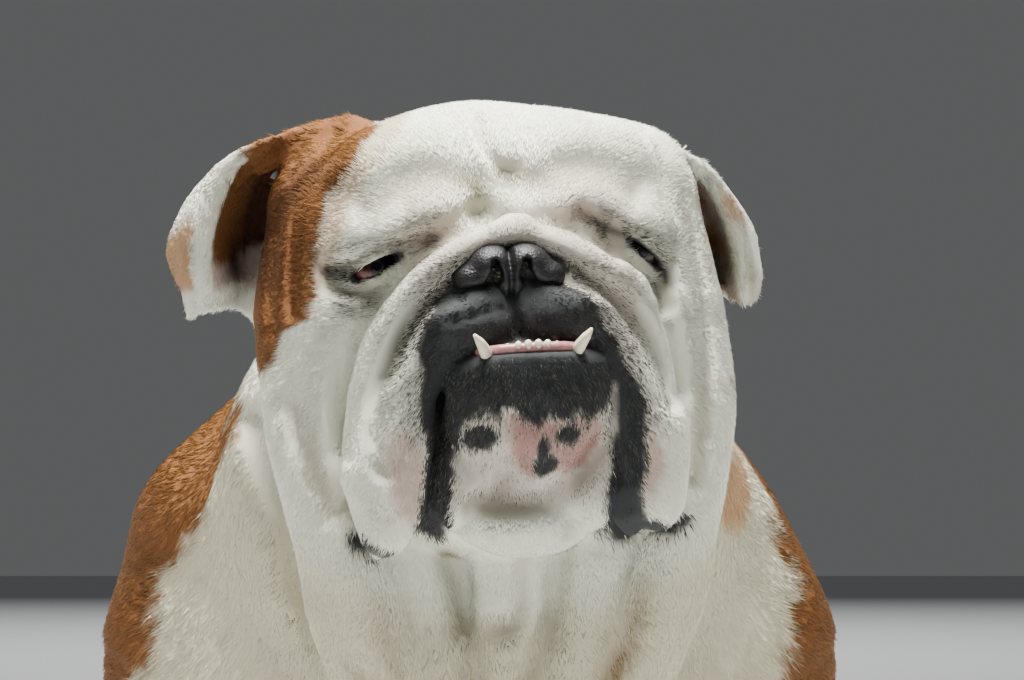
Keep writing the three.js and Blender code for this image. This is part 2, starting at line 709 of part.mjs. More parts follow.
// Head
const headX = spaced([-126, 13, -87, 9.8, 80, 13, 126]);
const headY = spaced([-62, 10, 22, 18, 58, 26, 162]);
const headZ = spaced([-190, 14, -128, 10.2, 76, 12, 98]);
const inHead = (form) => {
  const m = headFrame.elements;
  return (x, y, z) =>
    form(
      m[0] * x + m[4] * y + m[8] * z + m[12],
      m[1] * x + m[5] * y + m[9] * z + m[13],
      m[2] * x + m[6] * y + m[10] * z + m[14],
    );
};
let head = carried(meshed(inHead(dogForm), headX, headY, headZ), headFrame).intersect(headSide(0));
for (const made of [noseBall, ...jawParts]) head = head.subtract(grown(made, 1.5 * GAP));
for (const made of [...sockets, ...slits]) head = head.subtract(made);
head = largest(head);
addNode("head", head, "coat");

// Ears: a folded leaf from the root through the cup, over the front rim and back along the flap
for (const [n, side] of [-1, 1].entries()) {
  const name = side < 0 ? "ear_right" : "ear_left";
  const leaf = earLeaf(EARS[n], side);
  addNode(name, leaf.subtract(grown(head, 1.2 * GAP)).subtract(grown(head, 0.4 * GAP)), "coat");
}

// Neck, between the head and the shoulders
const neckGrid = [spaced([-170, 17, 170]), spaced([-220, 16, -100, 22, 120]), spaced([150, 18, 470])];
const neck = meshed(dogForm, ...neckGrid).intersect(neckSide(0)).subtract(headSide(GAP));
addNode("neck", neck, "coat");

// Torso, without the parts of the legs
const torsoY = spaced([-170, 22, -50, 33, HIND_Y + 44, 23, HIND_Y + 148]);
let torso = meshed(dogForm, spaced([-210, 24, 210]), torsoY, spaced([90, 25, 450]));
torso = torso.subtract(neckSide(GAP));
for (const side of [-1, 1]) torso = torso.subtract(foreBlock(side, GAP)).subtract(hindBlock(side, GAP));
torso = torso.subtract(beyond(TAIL_CUT[0], TAIL_CUT[1], TAIL_CUT[2], TAIL_CUT[3], GAP));
addNode("torso", torso, "coat");

// Tail
const tail = meshed(bodyForm, spaced([-54, 9, 54]), spaced([HIND_Y + 28, 10, HIND_Y + 138]), spaced([200, 11, 350]))
  .intersect(beyond(...TAIL_CUT, 0))
  .intersect(block([-45, HIND_Y + 30, 150], [45, HIND_Y + 200, 400]));
addNode("tail", tail, "coat");

for (const side of [-1, 1]) {
  const word = side < 0 ? "right" : "left";
  const xs = (near, far, step) => (side > 0 ? spaced([near, step, far]) : spaced([-far, step, -near]));
  // Foreleg and its paw
  const foreGrid = [xs(40, 215, 16), spaced([-75, 16, 130]), spaced([30, 19, 190])];
  const fore = meshed(bodyForm, ...foreGrid).intersect(foreBlock(side, 0)).subtract(floorTo(FORE_PAW_TOP + GAP));
  addNode(`foreleg_${word}`, fore, "coat");
  const pawGrid = [xs(66, 182, 10.5), spaced([-75, 10.5, 55]), spaced([-12, 11, 65])];
  const paw = meshed(bodyForm, ...pawGrid).intersect(floorTo(FORE_PAW_TOP)).subtract(floorTo(0));
  addNode(`forepaw_${word}`, paw, "coat");
  // Thigh, lower hind leg and hind paw
  const thighGrid = [xs(20, 175, 19), spaced([HIND_Y - 112, 19, HIND_Y + 98]), spaced([100, 19, 280])];
  const upper = meshed(bodyForm, ...thighGrid).intersect(hindBlock(side, 0)).subtract(floorTo(HOCK_TOP + GAP));
  addNode(`thigh_${word}`, upper, "coat");
  const hockGrid = [xs(40, 145, 13.5), spaced([HIND_Y - 90, 13.5, HIND_Y + 73]), spaced([30, 13.5, 140])];
  const hock = meshed(bodyForm, ...hockGrid).intersect(floorTo(HOCK_TOP)).subtract(floorTo(HIND_PAW_TOP + GAP));
  addNode(`hind_leg_${word}`, hock, "coat");
  const hindGrid = [xs(44, 140, 10.5), spaced([HIND_Y - 62, 10.5, HIND_Y + 68]), spaced([-12, 11, 65])];
  const back = meshed(bodyForm, ...hindGrid).intersect(floorTo(HIND_PAW_TOP)).subtract(floorTo(0));
  addNode(`hind_paw_${word}`, back, "coat");
}

// The origin goes under the middle of the outline
dog.updateMatrixWorld(true);
const outline = new THREE.Box3().setFromObject(dog);
const middle = outline.getCenter(new THREE.Vector3());
for (const node of dog.children) node.geometry.translate(-middle.x, -middle.y, -outline.min.z);

export default dog;
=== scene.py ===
import math
import bpy
import numpy as np
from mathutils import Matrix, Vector
from mathutils.bvhtree import BVHTree


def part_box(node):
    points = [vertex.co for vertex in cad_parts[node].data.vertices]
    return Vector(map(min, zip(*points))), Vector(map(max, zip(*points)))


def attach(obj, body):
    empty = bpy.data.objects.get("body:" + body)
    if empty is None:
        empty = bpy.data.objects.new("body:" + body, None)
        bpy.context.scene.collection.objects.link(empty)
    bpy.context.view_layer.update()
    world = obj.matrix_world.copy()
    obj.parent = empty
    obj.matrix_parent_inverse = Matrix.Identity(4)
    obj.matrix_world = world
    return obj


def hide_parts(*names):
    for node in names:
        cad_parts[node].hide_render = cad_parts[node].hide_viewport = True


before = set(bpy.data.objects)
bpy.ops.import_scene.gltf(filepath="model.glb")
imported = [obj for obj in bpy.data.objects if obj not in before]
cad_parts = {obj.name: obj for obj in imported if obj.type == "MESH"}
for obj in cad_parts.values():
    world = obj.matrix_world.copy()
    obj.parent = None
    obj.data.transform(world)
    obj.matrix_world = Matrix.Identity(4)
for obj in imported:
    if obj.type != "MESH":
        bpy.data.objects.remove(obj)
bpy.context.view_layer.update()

# Skin: one seamless hide over the whole dog, from the loose rolls of the face down to the paws.
# It is living skin under a short coat. It is worked out as one blended form in millimetres, netted with fine
# cells on the head and wider ones on the body, and lies under the outline of the solids by the coat's depth.
HEAD_AT = np.array([16.5, -165.0, 408.0])
HEAD_TURN = 8.0
HEAD_ROLL = 3.0
FORE_X, FORE_Y = 118.0, 5.0
HIND_X, HIND_Y = 92.0, 266.0
EYE_R = 12.0
EYES = np.array([[-57.0, 4.0, 1.0], [57.5, 4.0, 3.5]])
SKULL_ASIDE = -1.5
MUZZLE_ASIDE = -1.0
MUZZLE_TILT = 0.05
JAW_ASIDE = 4.0
NOSE_ASIDE = -2.6
EAR_HALF = 2.6
FAR = 1e3
SOLE_Z = 0.4
TOES = (-1.5, -0.5, 0.5, 1.5)
# each paw: the middle of it in x and y, its width and its length
FORE_PAW = (FORE_X + 2, FORE_Y - 20, 76, 84)
HIND_PAW = (HIND_X, HIND_Y - 2, 64, 78)


def turned(x, y, z):
    a, b, c = math.radians(x), math.radians(y), math.radians(z)
    about_x = np.array([[1, 0, 0], [0, math.cos(a), -math.sin(a)], [0, math.sin(a), math.cos(a)]])
    about_y = np.array([[math.cos(b), 0, math.sin(b)], [0, 1, 0], [-math.sin(b), 0, math.cos(b)]])
    about_z = np.array([[math.cos(c), -math.sin(c), 0], [math.sin(c), math.cos(c), 0], [0, 0, 1]])
    return about_x @ about_y @ about_z


HEAD_AXES = turned(0, -HEAD_ROLL, 0) @ turned(0, 0, HEAD_TURN)


def to_head(p):
    return (p - HEAD_AT) @ HEAD_AXES


def from_head(p):
    return np.asarray(p, float) @ HEAD_AXES.T + HEAD_AT


eye_low, eye_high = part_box("eye_left")
SHIFT = np.array((eye_low + eye_high) / 2) * 1000 - from_head(EYES[1])


def placed(p):
    return (p + SHIFT) / 1000


def smooth_min(a, b, k):
    h = np.maximum(k - np.abs(a - b), 0) / k
    return np.minimum(a, b) - h * h * k / 4


def smooth_step(low, high, t):
    s = np.clip((t - low) / (high - low), 0, 1)
    return s * s * (3 - 2 * s)


def hump(distance, width):
    return np.exp(-((distance / width) ** 2))


def egg(p, centre, radii, turn=(0, 0, 0)):
    q = (p - np.array(centre)) @ turned(*turn) / np.array(radii)
    length = np.linalg.norm(q, axis=1)
    slope = np.linalg.norm(q / np.array(radii), axis=1)
    return np.where(slope > 1e-9, length * (length - 1) / np.maximum(slope, 1e-9), -min(radii))


def curve(stations, per_span=4):
    """A smooth line through the stations; what comes after x, y, z changes evenly from one to the next."""
    s = np.array(stations, float)
    p = np.vstack([2 * s[0] - s[1], s, 2 * s[-1] - s[-2]])
    t = np.arange(per_span)[:, None] / per_span
    spans = []
    for a, b, c, d in zip(p[:-3], p[1:-2], p[2:-1], p[3:]):
        q = 0.5 * (2 * b + (c - a) * t + (2 * a - 5 * b + 4 * c - d) * t**2 + (3 * b - a - 3 * c + d) * t**3)
        q[:, 3:] = b[3:] + (c[3:] - b[3:]) * t
        spans.append(q)
    return np.vstack([*spans, s[-1:]])


def from_line(p, line, margin):
    """Distance from a line of points, less its radius where it has one; far points are left far."""
    radius = line[:, 3] if line.shape[1] > 3 else np.zeros(len(line))
    reach = margin + radius.max()
    low, high = line[:, :3].min(0) - reach, line[:, :3].max(0) + reach
    near = np.flatnonzero(((p > low) & (p < high)).all(axis=1))
    q = p[near]
    best = np.full(len(q), FAR)
    for a, b, ra, rb in zip(line[:-1, :3], line[1:, :3], radius[:-1], radius[1:]):
        d = b - a
        t = np.clip((q - a) @ d / (d @ d), 0, 1)
        best = np.minimum(best, np.linalg.norm(q - a - t[:, None] * d, axis=1) - ra - (rb - ra) * t)
    out = np.full(len(p), FAR)
    out[near] = best
    return out


def bar(p, stations, per_span=4, margin=24):
    return from_line(p, curve(stations, per_span), margin)


def mirrored(p, aside=0.0):
    q = p.copy()
    q[:, 0] = np.abs(p[:, 0] - aside)
    return q


NOSE_ROLL = [[0, -27, 14, 8], [18, -28, 11, 9], [35, -26, 1, 10], [49, -22, -14, 11], [59, -17, -31, 12],
             [65, -12, -52, 12.5], [68, -8, -72, 12], [68, -6, -90, 10]]
FLEW_ROOT = [[32, -24, -28, 14], [47, -20, -50, 15], [56, -14, -78, 18], [57, -10, -98, 17]]
CHEEK_ROLL = [[78, 10, -26, 12], [83, 8, -52, 12], [84, 7, -78, 12], [80, 9, -104, 13], [70, 16, -134, 15],
              [58, 30, -166, 17], [46, 46, -200, 16]]
EAR_ROOT = [[-100, 52, 50, 5], [-90, 49, 57, 7], [-76, 46, 61, 9], [-60, 44, 62, 10]]
JOWL_ROLL = [[87, 32, -32, 17], [92, 25, -62, 16], [88, 21, -92, 15.5], [81, 25, -122, 16],
             [74, 35, -152, 18], [62, 50, -184, 18], [50, 66, -214, 16]]
FLEW_PADS = [([-59, -10, -86], [21, 22, 43], [0, 5, 0]), ([57, -10, -83.5], [21, 22, 40.5], [0, -5, 0])]
LOWER_LIP = [[29, -36, -44, 2.6], [15, -47.5, -42.6, 2.8], [0, -50.5, -42.2, 2.8]]
LIP_TURNED_OUT = [[43, -20, -104, 6], [45, -17, -112, 8], [48, -14, -119, 6]]


def muzzle_form(p):
    q = mirrored(p, MUZZLE_ASIDE)
    q[:, 2] -= MUZZLE_TILT * p[:, 0] * smooth_step(-110, -60, p[:, 2])
    d = smooth_min(egg(q, [0, -10, -24], [44, 30, 34]), egg(q, [21, -26, -24], [23, 20, 18]), 8)
    d = smooth_min(d, bar(q, FLEW_ROOT), 9)
    for centre, radii, turn in FLEW_PADS:
        d = smooth_min(d, egg(p, centre, radii, turn), 9)
    d = smooth_min(d, bar(p, LIP_TURNED_OUT), 4)
    return smooth_min(d, bar(q, NOSE_ROLL), 3.5)


def skull_form(p):
    q = mirrored(p, SKULL_ASIDE)
    d = smooth_min(egg(q, [34, 50, 14], [55, 76, 54]), egg(p, [-7, 20, 40], [44, 34, 34.5]), 18)
    d = smooth_min(d, egg(q, [76, 44, 14], [21, 32, 42]), 16)
    d = smooth_min(d, egg(q, [64, 44, 40], [32, 26, 21], [0, 30, 0]), 12)
    d = smooth_min(d, egg(q, [66, 52, -34], [41, 52, 60]), 18)
    d = smooth_min(d, egg(q, [0, 34, -80], [74, 58, 54]), 18)
    d = smooth_min(d, egg(q, [62, 16, -24], [28, 24, 27]), 14)
    d = smooth_min(d, egg(q, [36, 14, 48], [40, 24, 19], [0, 8, 0]), 10)
    d = smooth_min(d, egg(q, [40, 5, 18], [40, 23, 18], [0, 12, 0]), 9)
    d = smooth_min(d, bar(p, EAR_ROOT), 8)
    d = smooth_min(d, bar(q, CHEEK_ROLL), 9)
    return smooth_min(d, bar(q, JOWL_ROLL), 12)


def jaw_bulk(p):
    q = mirrored(p, JAW_ASIDE)
    d = smooth_min(egg(q, [0, -25, -64], [37, 27, 30]), egg(q, [0, -25.5, -46], [37, 25.5, 13]), 12)
    d = smooth_min(d, egg(q, [0, -2, -90], [44, 30, 42]), 14)
    d = smooth_min(d, egg(q, [31, -12, -96], [13, 17, 24], [0, 4, 0]), 5)
    d = smooth_min(d, egg(p, [-4, -11, -111], [22, 22, 15]), 4)
    return smooth_min(d, bar(q, LOWER_LIP), 3)


def face_bulk(p):
    d = smooth_min(skull_form(p), muzzle_form(p), 4)
    lids = np.minimum(egg(p, EYES[0], [15, 15, 15]), egg(p, EYES[1], [15, 15, 15]))
    return smooth_min(d, lids, 5)


# creases of the face: a line on the front view, its depth and its width
FACE_CREASES = [
    ([[-9, 66], [-8.7, 58], [-7.4, 52], [-5.3, 46], [-2, 41], [4, 38]], 6.0, 2.6),
    ([[-60, 28], [-51, 32], [-43, 36], [-32, 38], [-22, 36.5], [-13, 32]], 4.5, 9.0),
    ([[4, 38], [12, 34], [19, 34.5], [26, 37.5], [36, 38], [46, 35], [56, 28]], 4.5, 9.0),
    ([[-77, 1], [-71, 1.5], [-62, 5], [-54, 8], [-45, 10.5], [-36, 12.5]], 7.0, 4.0),
    ([[33, 19.5], [38, 16], [43, 12.5]], 7.0, 4.5),
    ([[45, 11.5], [52, 8.5], [60, 3.0], [67, -2.0], [71, -7]], 1.5, 4.0),
    ([[71, -5], [73, -12]], 5.0, 4.0),
    ([[-77, -7], [-70, -9.5], [-62, -9.5], [-56, -7]], 4.5, 3.5),
    ([[-12, 21.5], [-22, 17.5], [-32, 12], [-40, 7], [-49, 0.5], [-56, -7], [-61, -15], [-65.5, -23],
      [-70, -34], [-74.5, -48], [-77, -62], [-79, -78]], 12.0, 5.5),
    ([[16, 18], [25, 14], [38, 8], [45, 4.5]], 12.0, 5.5),
    ([[48, 2.5], [53, -1], [60, -6.5], [65, -12]], 3.0, 4.5),
    ([[67, -15], [69, -22], [71.5, -31], [74, -44], [76, -60]], 12.0, 5.5),
    ([[-27, -13], [-38, -17], [-43.5, -22], [-47.5, -27], [-51.5, -34], [-56.5, -45]], 8.0, 3.8),
    ([[-58, -49], [-60.5, -58], [-63, -72], [-62, -88]], 3.0, 4.5),
    ([[18, -5], [22, -10], [32, -12], [41, -15.5], [49.5, -21.5], [55.5, -30.5], [60.5, -40], [64.5, -51],
      [67, -65]], 8.0, 3.8),
    ([[-95, -60], [-93, -69], [-89, -82], [-85.5, -93], [-80, -104.5], [-76, -113.5]], 5.0, 8.0),
    ([[76, 44], [86, 18], [89, -12], [89, -42], [85, -71], [80, -100]], 4.0, 7.0),
    ([[-67, 63], [-86, 37], [-91, 12], [-94, -17]], 3.0, 3.4),
    ([[-78, 49], [-95, 28], [-101, 0], [-103, -24]], 3.0, 3.4),
    ([[-3.4, -11], [-2.6, -18], [-1.4, -25], [-0.3, -34]], 9.0, 1.8),
    ([[-30, -24.5], [-22, -23], [-14, -21], [-8, -20.5]], 1.8, 2.0),
    ([[26, -26], [17, -28], [10, -27]], 1.6, 2.0),
    ([[-59, -51], [-64, -57], [-67.5, -66], [-65.5, -72], [-62, -70], [-57, -62], [-51, -53]], 1.1, 3.8),
    ([[-66.5, -74], [-68, -80.5], [-64, -86.5], [-59, -88.5], [-57.5, -84], [-60.5, -79]], 1.1, 3.8),
    ([[-69.5, -100], [-66, -107], [-59.5, -109.5]], 2.2, 4.5),
]
CHIN_CREASES = [
    ([[-8.5, -88], [-9, -97], [-13, -102.5], [-21.5, -104], [-23.5, -109.5], [-25, -117]], 12.0, 4.0),
    ([[-21.5, -104], [-11, -105.5], [2, -106], [13, -104.5]], 7.0, 4.0),
    ([[13, -104.5], [16.5, -99.5], [22, -94], [26.5, -90], [31, -82]], 12.0, 4.0),
    ([[16, -103], [17.5, -111], [21, -118]], 12.0, 4.0),
]
# folds of the throat and the chest, in the dog's frame
BODY_CREASES = [
    ([[-8.5, 286], [-7.5, 278.5], [-5.5, 269.5], [-3, 258], [-1.5, 251.5], [2, 243], [3.5, 231.5],
      [2.5, 220]], 14.0, 6.0),
    ([[-1.5, 251.5], [3.5, 248.5], [10, 247], [15, 248], [20, 250], [23.5, 254.5], [24.5, 261],
      [23.5, 270], [25, 277], [28, 285]], 10.0, 4.5),
    ([[46, 296], [44, 284], [42.5, 274], [41.5, 263], [39.5, 256], [36, 249.5], [32.5, 241],
      [29.5, 231], [28, 222]], 14.0, 6.0),
    ([[91, 290], [85.5, 276.5], [81, 270], [78, 263], [76, 254], [74, 243], [68, 231.5],
      [63, 220]], 14.0, 8.0),
    ([[-55.5, 288.5], [-50, 277.5], [-44.5, 266.5], [-40.5, 257.5], [-36, 241.5], [-31.5, 228]], 8.0, 7.0),
    ([[-97, 336], [-86, 306.5], [-80, 293.5], [-75.5, 266], [-69.5, 254.5], [-65, 245.5], [-56, 237],
      [-47.5, 228], [-40, 219]], 16.0, 8.0),
]


def laid_on(form, line, start):
    """A line of [x, z] laid on a form from the front."""
    c = curve([[x, 0, z] for x, z in line], 6)
    c[:, 1] = start
    for _ in range(40):
        c[:, 1] += np.maximum(form(c), -3) * 0.8
    return c


# a crease is cut deeper from the front than it is wide
SLOT = np.array([1.0, 0.4, 1.0])


def creased(p, d, creases):
    for line, depth, width in creases:
        d = d + depth * hump(from_line(p * SLOT, line * SLOT, 2.4 * width), width)
    return d


face_creases = [(laid_on(face_bulk, line, -90.0), depth, width) for line, depth, width in FACE_CREASES]
chin_creases = [(laid_on(jaw_bulk, line, -90.0), depth, width) for line, depth, width in CHIN_CREASES]


def jaw_form(p):
    return creased(p, jaw_bulk(p), chin_creases)


def head_form(p):
    d = creased(p, face_bulk(p), face_creases)
    right_slit = egg(p, [-57.5, -10, 0.6], [9.6, 14, 2.4], [0, -25, 0])
    left_slit = egg(p, [62, -10, 1.0], [8, 14, 0.7], [0, 38, 0])
    return -smooth_min(-d, np.minimum(right_slit, left_slit), 1.2)


# ears: stations from the top to the tip, each with its root, cup, rim and edge
EARS = [
    [
        [[62, 40, 52], [77, 56, 64], [92, 38, 62], [102, 50, 54]],
        [[74, 56, 44], [94, 70, 48], [115, 40, 51], [127, 56, 41]],
        [[84, 64, 30], [104, 80, 27], [127, 40, 27], [141, 60, 18]],
        [[88, 68, 12], [108, 80, 8], [129, 44, 8], [140, 60, 6]],
        [[92, 66, -10], [107, 74, -6], [128, 50, -3], [136, 59, -4]],
        [[97, 62, -25], [112, 66, -12], [131, 56, -13], [134, 60, -15]],
    ],
    [
        [[54, 36, 48], [68, 50, 57], [75, 30, 54], [83, 44, 47]],
        [[68, 54, 41], [84, 64, 43], [94, 34, 42], [104, 50, 34]],
        [[80, 64, 26], [100, 82, 26], [108, 40, 22], [120, 58, 13]],
        [[85, 66, 10], [106, 84, 5], [114.5, 43, 2], [123.5, 60, -2]],
        [[91, 66, -5], [107, 78, -8], [116, 46, -12], [123.5, 58, -12]],
        [[104, 62, -15], [111, 64, -19], [117, 54, -23], [121, 58, -22]],
    ],
]


def ear_leaf(stations, side):
    rows = np.array([curve(row) for row in stations])
    net = np.array([curve(rows[:, i], 3) for i in range(rows.shape[1])]) * [side, 1, 1]
    across, along = net.shape[:2]
    quads = [[i * along + j, (i + 1) * along + j, (i + 1) * along + j + 1, i * along + j + 1]
             for i in range(across - 1) for j in range(along - 1)]
    points = net.reshape(-1, 3)
    return BVHTree.FromPolygons([tuple(v) for v in points], quads), net, side


leaves = [ear_leaf(stations, side) for stations, side in zip(EARS, (-1, 1))]


def near_ear(h, leaf):
    """Points near an ear, their distance from its leaf, and where on it: across, down, on its inner face."""
    tree, net, side = leaf
    flat = net.reshape(-1, 3)
    near = np.flatnonzero(((h > flat.min(0) - 14) & (h < flat.max(0) + 14)).all(axis=1))
    found = [tree.find_nearest(tuple(q)) for q in h[near]]
    distance = np.array([hit[3] for hit in found])
    i, j = np.divmod([hit[2] for hit in found], net.shape[1] - 1) if found else (near, near)
    spot = np.array([hit[0] for hit in found]).reshape(-1, 3)
    out = np.array([hit[1] for hit in found]).reshape(-1, 3)
    across, down = net[i + 1, j] - net[i, j], net[i, j + 1] - net[i, j]
    u = i + np.clip(((spot - net[i, j]) * across).sum(1) / (across**2).sum(1), 0, 1)
    v = j + np.clip(((spot - net[i, j]) * down).sum(1) / (down**2).sum(1), 0, 1)
    inner = -side * ((h[near] - spot) * out).sum(1) > 0
    return near, distance, u, v, inner


def ear_form(h):
    out = np.full(len(h), FAR)
    for leaf in leaves:
        near, distance, *_ = near_ear(h, leaf)
        out[near] = np.minimum(out[near], distance - EAR_HALF)
    return out


def toe_at(i, px, py, width, length):
    """The middle of a toe in x and y; the two middle toes stand further forward."""
    return px + i * width * 0.235, py - length * (0.26 if abs(i) < 1 else 0.14)


def paw_form(p, px, py, width, length):
    d = egg(p, [px, py + length * 0.18, 20], [width * 0.42, length * 0.36, 24])
    for i in TOES:
        toe = [*toe_at(i, px, py, width, length), 15]
        d = smooth_min(d, egg(p, toe, [width * 0.145, length * 0.27, 17], [8, 0, -i * 4]), 4)
    return d


NECK = [[0, 60, 300, 104], [4, -20, 335, 95], [11, -70, 362, 84], [14, -110, 382, 74]]
DEWLAP_RIGHT = [[-50, -126, 322, 32], [-38, -126, 288, 33], [-30, -116, 252, 34], [-24, -98, 212, 40]]
DEWLAP_MIDDLE = [[20, -140, 300, 22], [19, -136, 266, 19], [20, -118, 228, 28]]
DEWLAP_LEFT = [[62, -126, 322, 28], [58, -124, 288, 28], [52, -114, 252, 30], [44, -96, 212, 38]]
FORE_LEG = [[FORE_X - 6, FORE_Y + 8, 225, 64], [FORE_X + 4, FORE_Y + 18, 172, 46],
            [FORE_X + 1, FORE_Y + 6, 115, 35], [FORE_X, FORE_Y, 62, 30], [FORE_X + 1, FORE_Y - 8, 34, 29]]
HIND_LEG = [[82, HIND_Y - 22, 225, 68], [95, HIND_Y - 50, 166, 47], [95, HIND_Y - 8, 126, 33],
            [HIND_X, HIND_Y + 32, 98, 26], [HIND_X, HIND_Y + 24, 56, 25], [HIND_X, HIND_Y + 10, 30, 26]]
TAIL = [[0, HIND_Y + 50, 304, 28], [0, HIND_Y + 80, 288, 20], [3, HIND_Y + 94, 266, 14],
        [7, HIND_Y + 101, 244, 10], [10, HIND_Y + 105, 228, 6]]


def body_bulk(p):
    q = mirrored(p)
    d = smooth_min(egg(q, [0, 80, 254], [132, 158, 118]), egg(q, [0, 180, 286], [98, 122, 88]), 60)
    d = smooth_min(d, egg(q, [0, 262, 272], [100, 80, 86]), 50)
    d = smooth_min(d, egg(q, [0, 50, 343], [80, 92, 42]), 50)
    d = smooth_min(d, egg(q, [0, -42, 222], [112, 64, 84]), 40)
    d = smooth_min(d, egg(p, [8, -60, 294], [108, 70, 78]), 30)
    d = smooth_min(d, egg(q, [56, -64, 308], [58, 60, 70]), 30)
    d = smooth_min(d, egg(q, [83, 12, 283], [72, 80, 56], [0, 20, 0]), 30)
    d = smooth_min(d, egg(p, [-109, 8, 293], [52, 60, 40], [0, -30, 0]), 24)
    d = smooth_min(d, egg(q, [94, 13, 200], [61, 86, 104], [0, -12, 0]), 30)
    d = smooth_min(d, egg(q, [80, 252, 214], [50, 74, 94]), 34)
    d = smooth_min(d, bar(p, NECK, margin=54), 50)
    d = smooth_min(d, bar(p, DEWLAP_RIGHT, margin=30), 12)
    d = smooth_min(d, bar(p, DEWLAP_LEFT, margin=30), 12)
    d = smooth_min(d, bar(p, DEWLAP_MIDDLE, margin=30), 9)
    d = smooth_min(d, bar(q, FORE_LEG, 8), 22)
    d = smooth_min(d, paw_form(q, *FORE_PAW), 14)
    d = smooth_min(d, bar(q, HIND_LEG, 8), 22)
    d = smooth_min(d, paw_form(q, *HIND_PAW), 14)
    return smooth_min(d, bar(p, TAIL), 16)


body_creases = [(laid_on(body_bulk, line, -260.0), depth, width) for line, depth, width in BODY_CREASES]


def dog_form(p):
    h = to_head(p)
    d = smooth_min(creased(p, body_bulk(p), body_creases), head_form(h), 7)
    d = smooth_min(d, ear_form(h), 5)
    return np.minimum(d, jaw_form(h))


def coat_depth(p):
    """How far the skin lies under the coat's outline: thin on the face, ears and paws."""
    h = to_head(p)
    away = np.linalg.norm(h - [0, -20, -30], axis=1)
    depth = 1.0 + 1.6 * smooth_step(60, 130, away)
    ears = smooth_step(85, 105, np.abs(h[:, 0])) * smooth_step(-30, -15, h[:, 2])
    depth = np.where(away < 190, depth - (depth - 0.5) * ears, depth)
    return 0.8 + (depth - 0.8) * smooth_step(20, 70, p[:, 2])


def skin_form(p):
    """The skin, flat on the floor under the paws."""
    return np.maximum(dog_form(p) + coat_depth(p), SOLE_Z - p[:, 2])


def spaced(*stops):
    """Grid lines from the first stop on: after it come a step and the stop it leads to, and so on."""
    lines = [stops[0]]
    for n in range(1, len(stops), 2):
        count = max(1, round((stops[n + 1] - lines[-1]) / stops[n]))
        lines.extend(np.linspace(lines[-1], stops[n + 1], count + 1)[1:])
    return np.array(lines)


def sampled(form, xs, ys, zs, coarse=4, band=16.0):
    """The form on a grid, worked out finely only near its surface."""
    lines = [xs, ys, zs]
    rough_lines = [line[::coarse] for line in lines]
    grid = np.stack(np.meshgrid(*rough_lines, indexing="ij"), axis=-1).reshape(-1, 3)
    rough = form(grid).reshape([len(line) for line in rough_lines])
    nearest = [np.minimum((np.arange(len(line)) + coarse // 2) // coarse, len(few) - 1)
               for line, few in zip(lines, rough_lines)]
    value = rough[np.ix_(*nearest)].astype(float)
    near = np.argwhere(np.abs(value) < band)
    value[tuple(near.T)] = form(np.stack([line[near[:, n]] for n, line in enumerate(lines)], axis=1))
    for side in (0, -1):
        value[side] = np.maximum(value[side], 1)
        value[:, side] = np.maximum(value[:, side], 1)
        value[:, :, side] = np.maximum(value[:, :, side], 1)
    return value + 1e-6


def netted(form, *lines):
    """Points and quads of a form's surface: a point in each cell it crosses, drawn onto it."""
    value = sampled(form, *lines)
    inside = value < 0
    cells_shape = [n - 1 for n in value.shape]
    total = np.zeros([*cells_shape, 3])
    count = np.zeros(cells_shape)
    for corner in np.ndindex(2, 2, 2):
        here = tuple(slice(c, c + n) for c, n in zip(corner, cells_shape))
        for axis in range(3):
            if corner[axis]:
                continue
            there = tuple(slice(c + (i == axis), c + (i == axis) + n)
                          for i, (c, n) in enumerate(zip(corner, cells_shape)))
            crossed = inside[here] != inside[there]
            share = np.where(crossed, value[here] / np.where(crossed, value[here] - value[there], 1), 0)
            for n in range(3):
                total[..., n] += crossed * (corner[n] + (share if n == axis else 0))
            count += crossed
    cells = np.argwhere(count > 0)
    number = np.full(cells_shape, -1)
    number[tuple(cells.T)] = np.arange(len(cells))
    share = total[tuple(cells.T)] / count[tuple(cells.T)][:, None]
    low = np.stack([line[cells[:, n]] for n, line in enumerate(lines)], axis=1)
    high = np.stack([line[cells[:, n] + 1] for n, line in enumerate(lines)], axis=1)
    points = low + share * (high - low)
    reach = (high - low).min(axis=1) / 3
    quads = []
    for axis in range(3):
        base = [slice(None)] * 3
        base[axis] = slice(None, -1)
        after = [slice(None)] * 3
        after[axis] = slice(1, None)
        edges = np.argwhere(inside[tuple(base)] != inside[tuple(after)])
        ring = []
        for a, b in ((1, 1), (0, 1), (0, 0), (1, 0)):
            cell = edges.copy()
            cell[:, (axis + 1) % 3] -= a
            cell[:, (axis + 2) % 3] -= b
            ring.append(number[tuple(cell.T)])
        ring = np.stack(ring, axis=1)
        inward = ~inside[tuple(edges.T)]
        ring[inward] = ring[inward][:, ::-1]
        quads.append(ring)
    for _ in range(2):
        d = form(points)
        slope = slope_of(form, points)
        steep = np.maximum(np.linalg.norm(slope, axis=1), 1e-6)
        points = points - slope / steep[:, None] * np.clip(d / steep, -reach, reach)[:, None]
    return points, np.concatenate(quads)


def slope_of(form, points, e=0.4):
    steps = e * np.eye(3)
    return np.stack([form(points + step) - form(points - step) for step in steps], axis=1) / (2 * e)


def new_object(name, data):
    made = bpy.data.objects.new(name, data)
    bpy.context.scene.collection.objects.link(made)
    return made


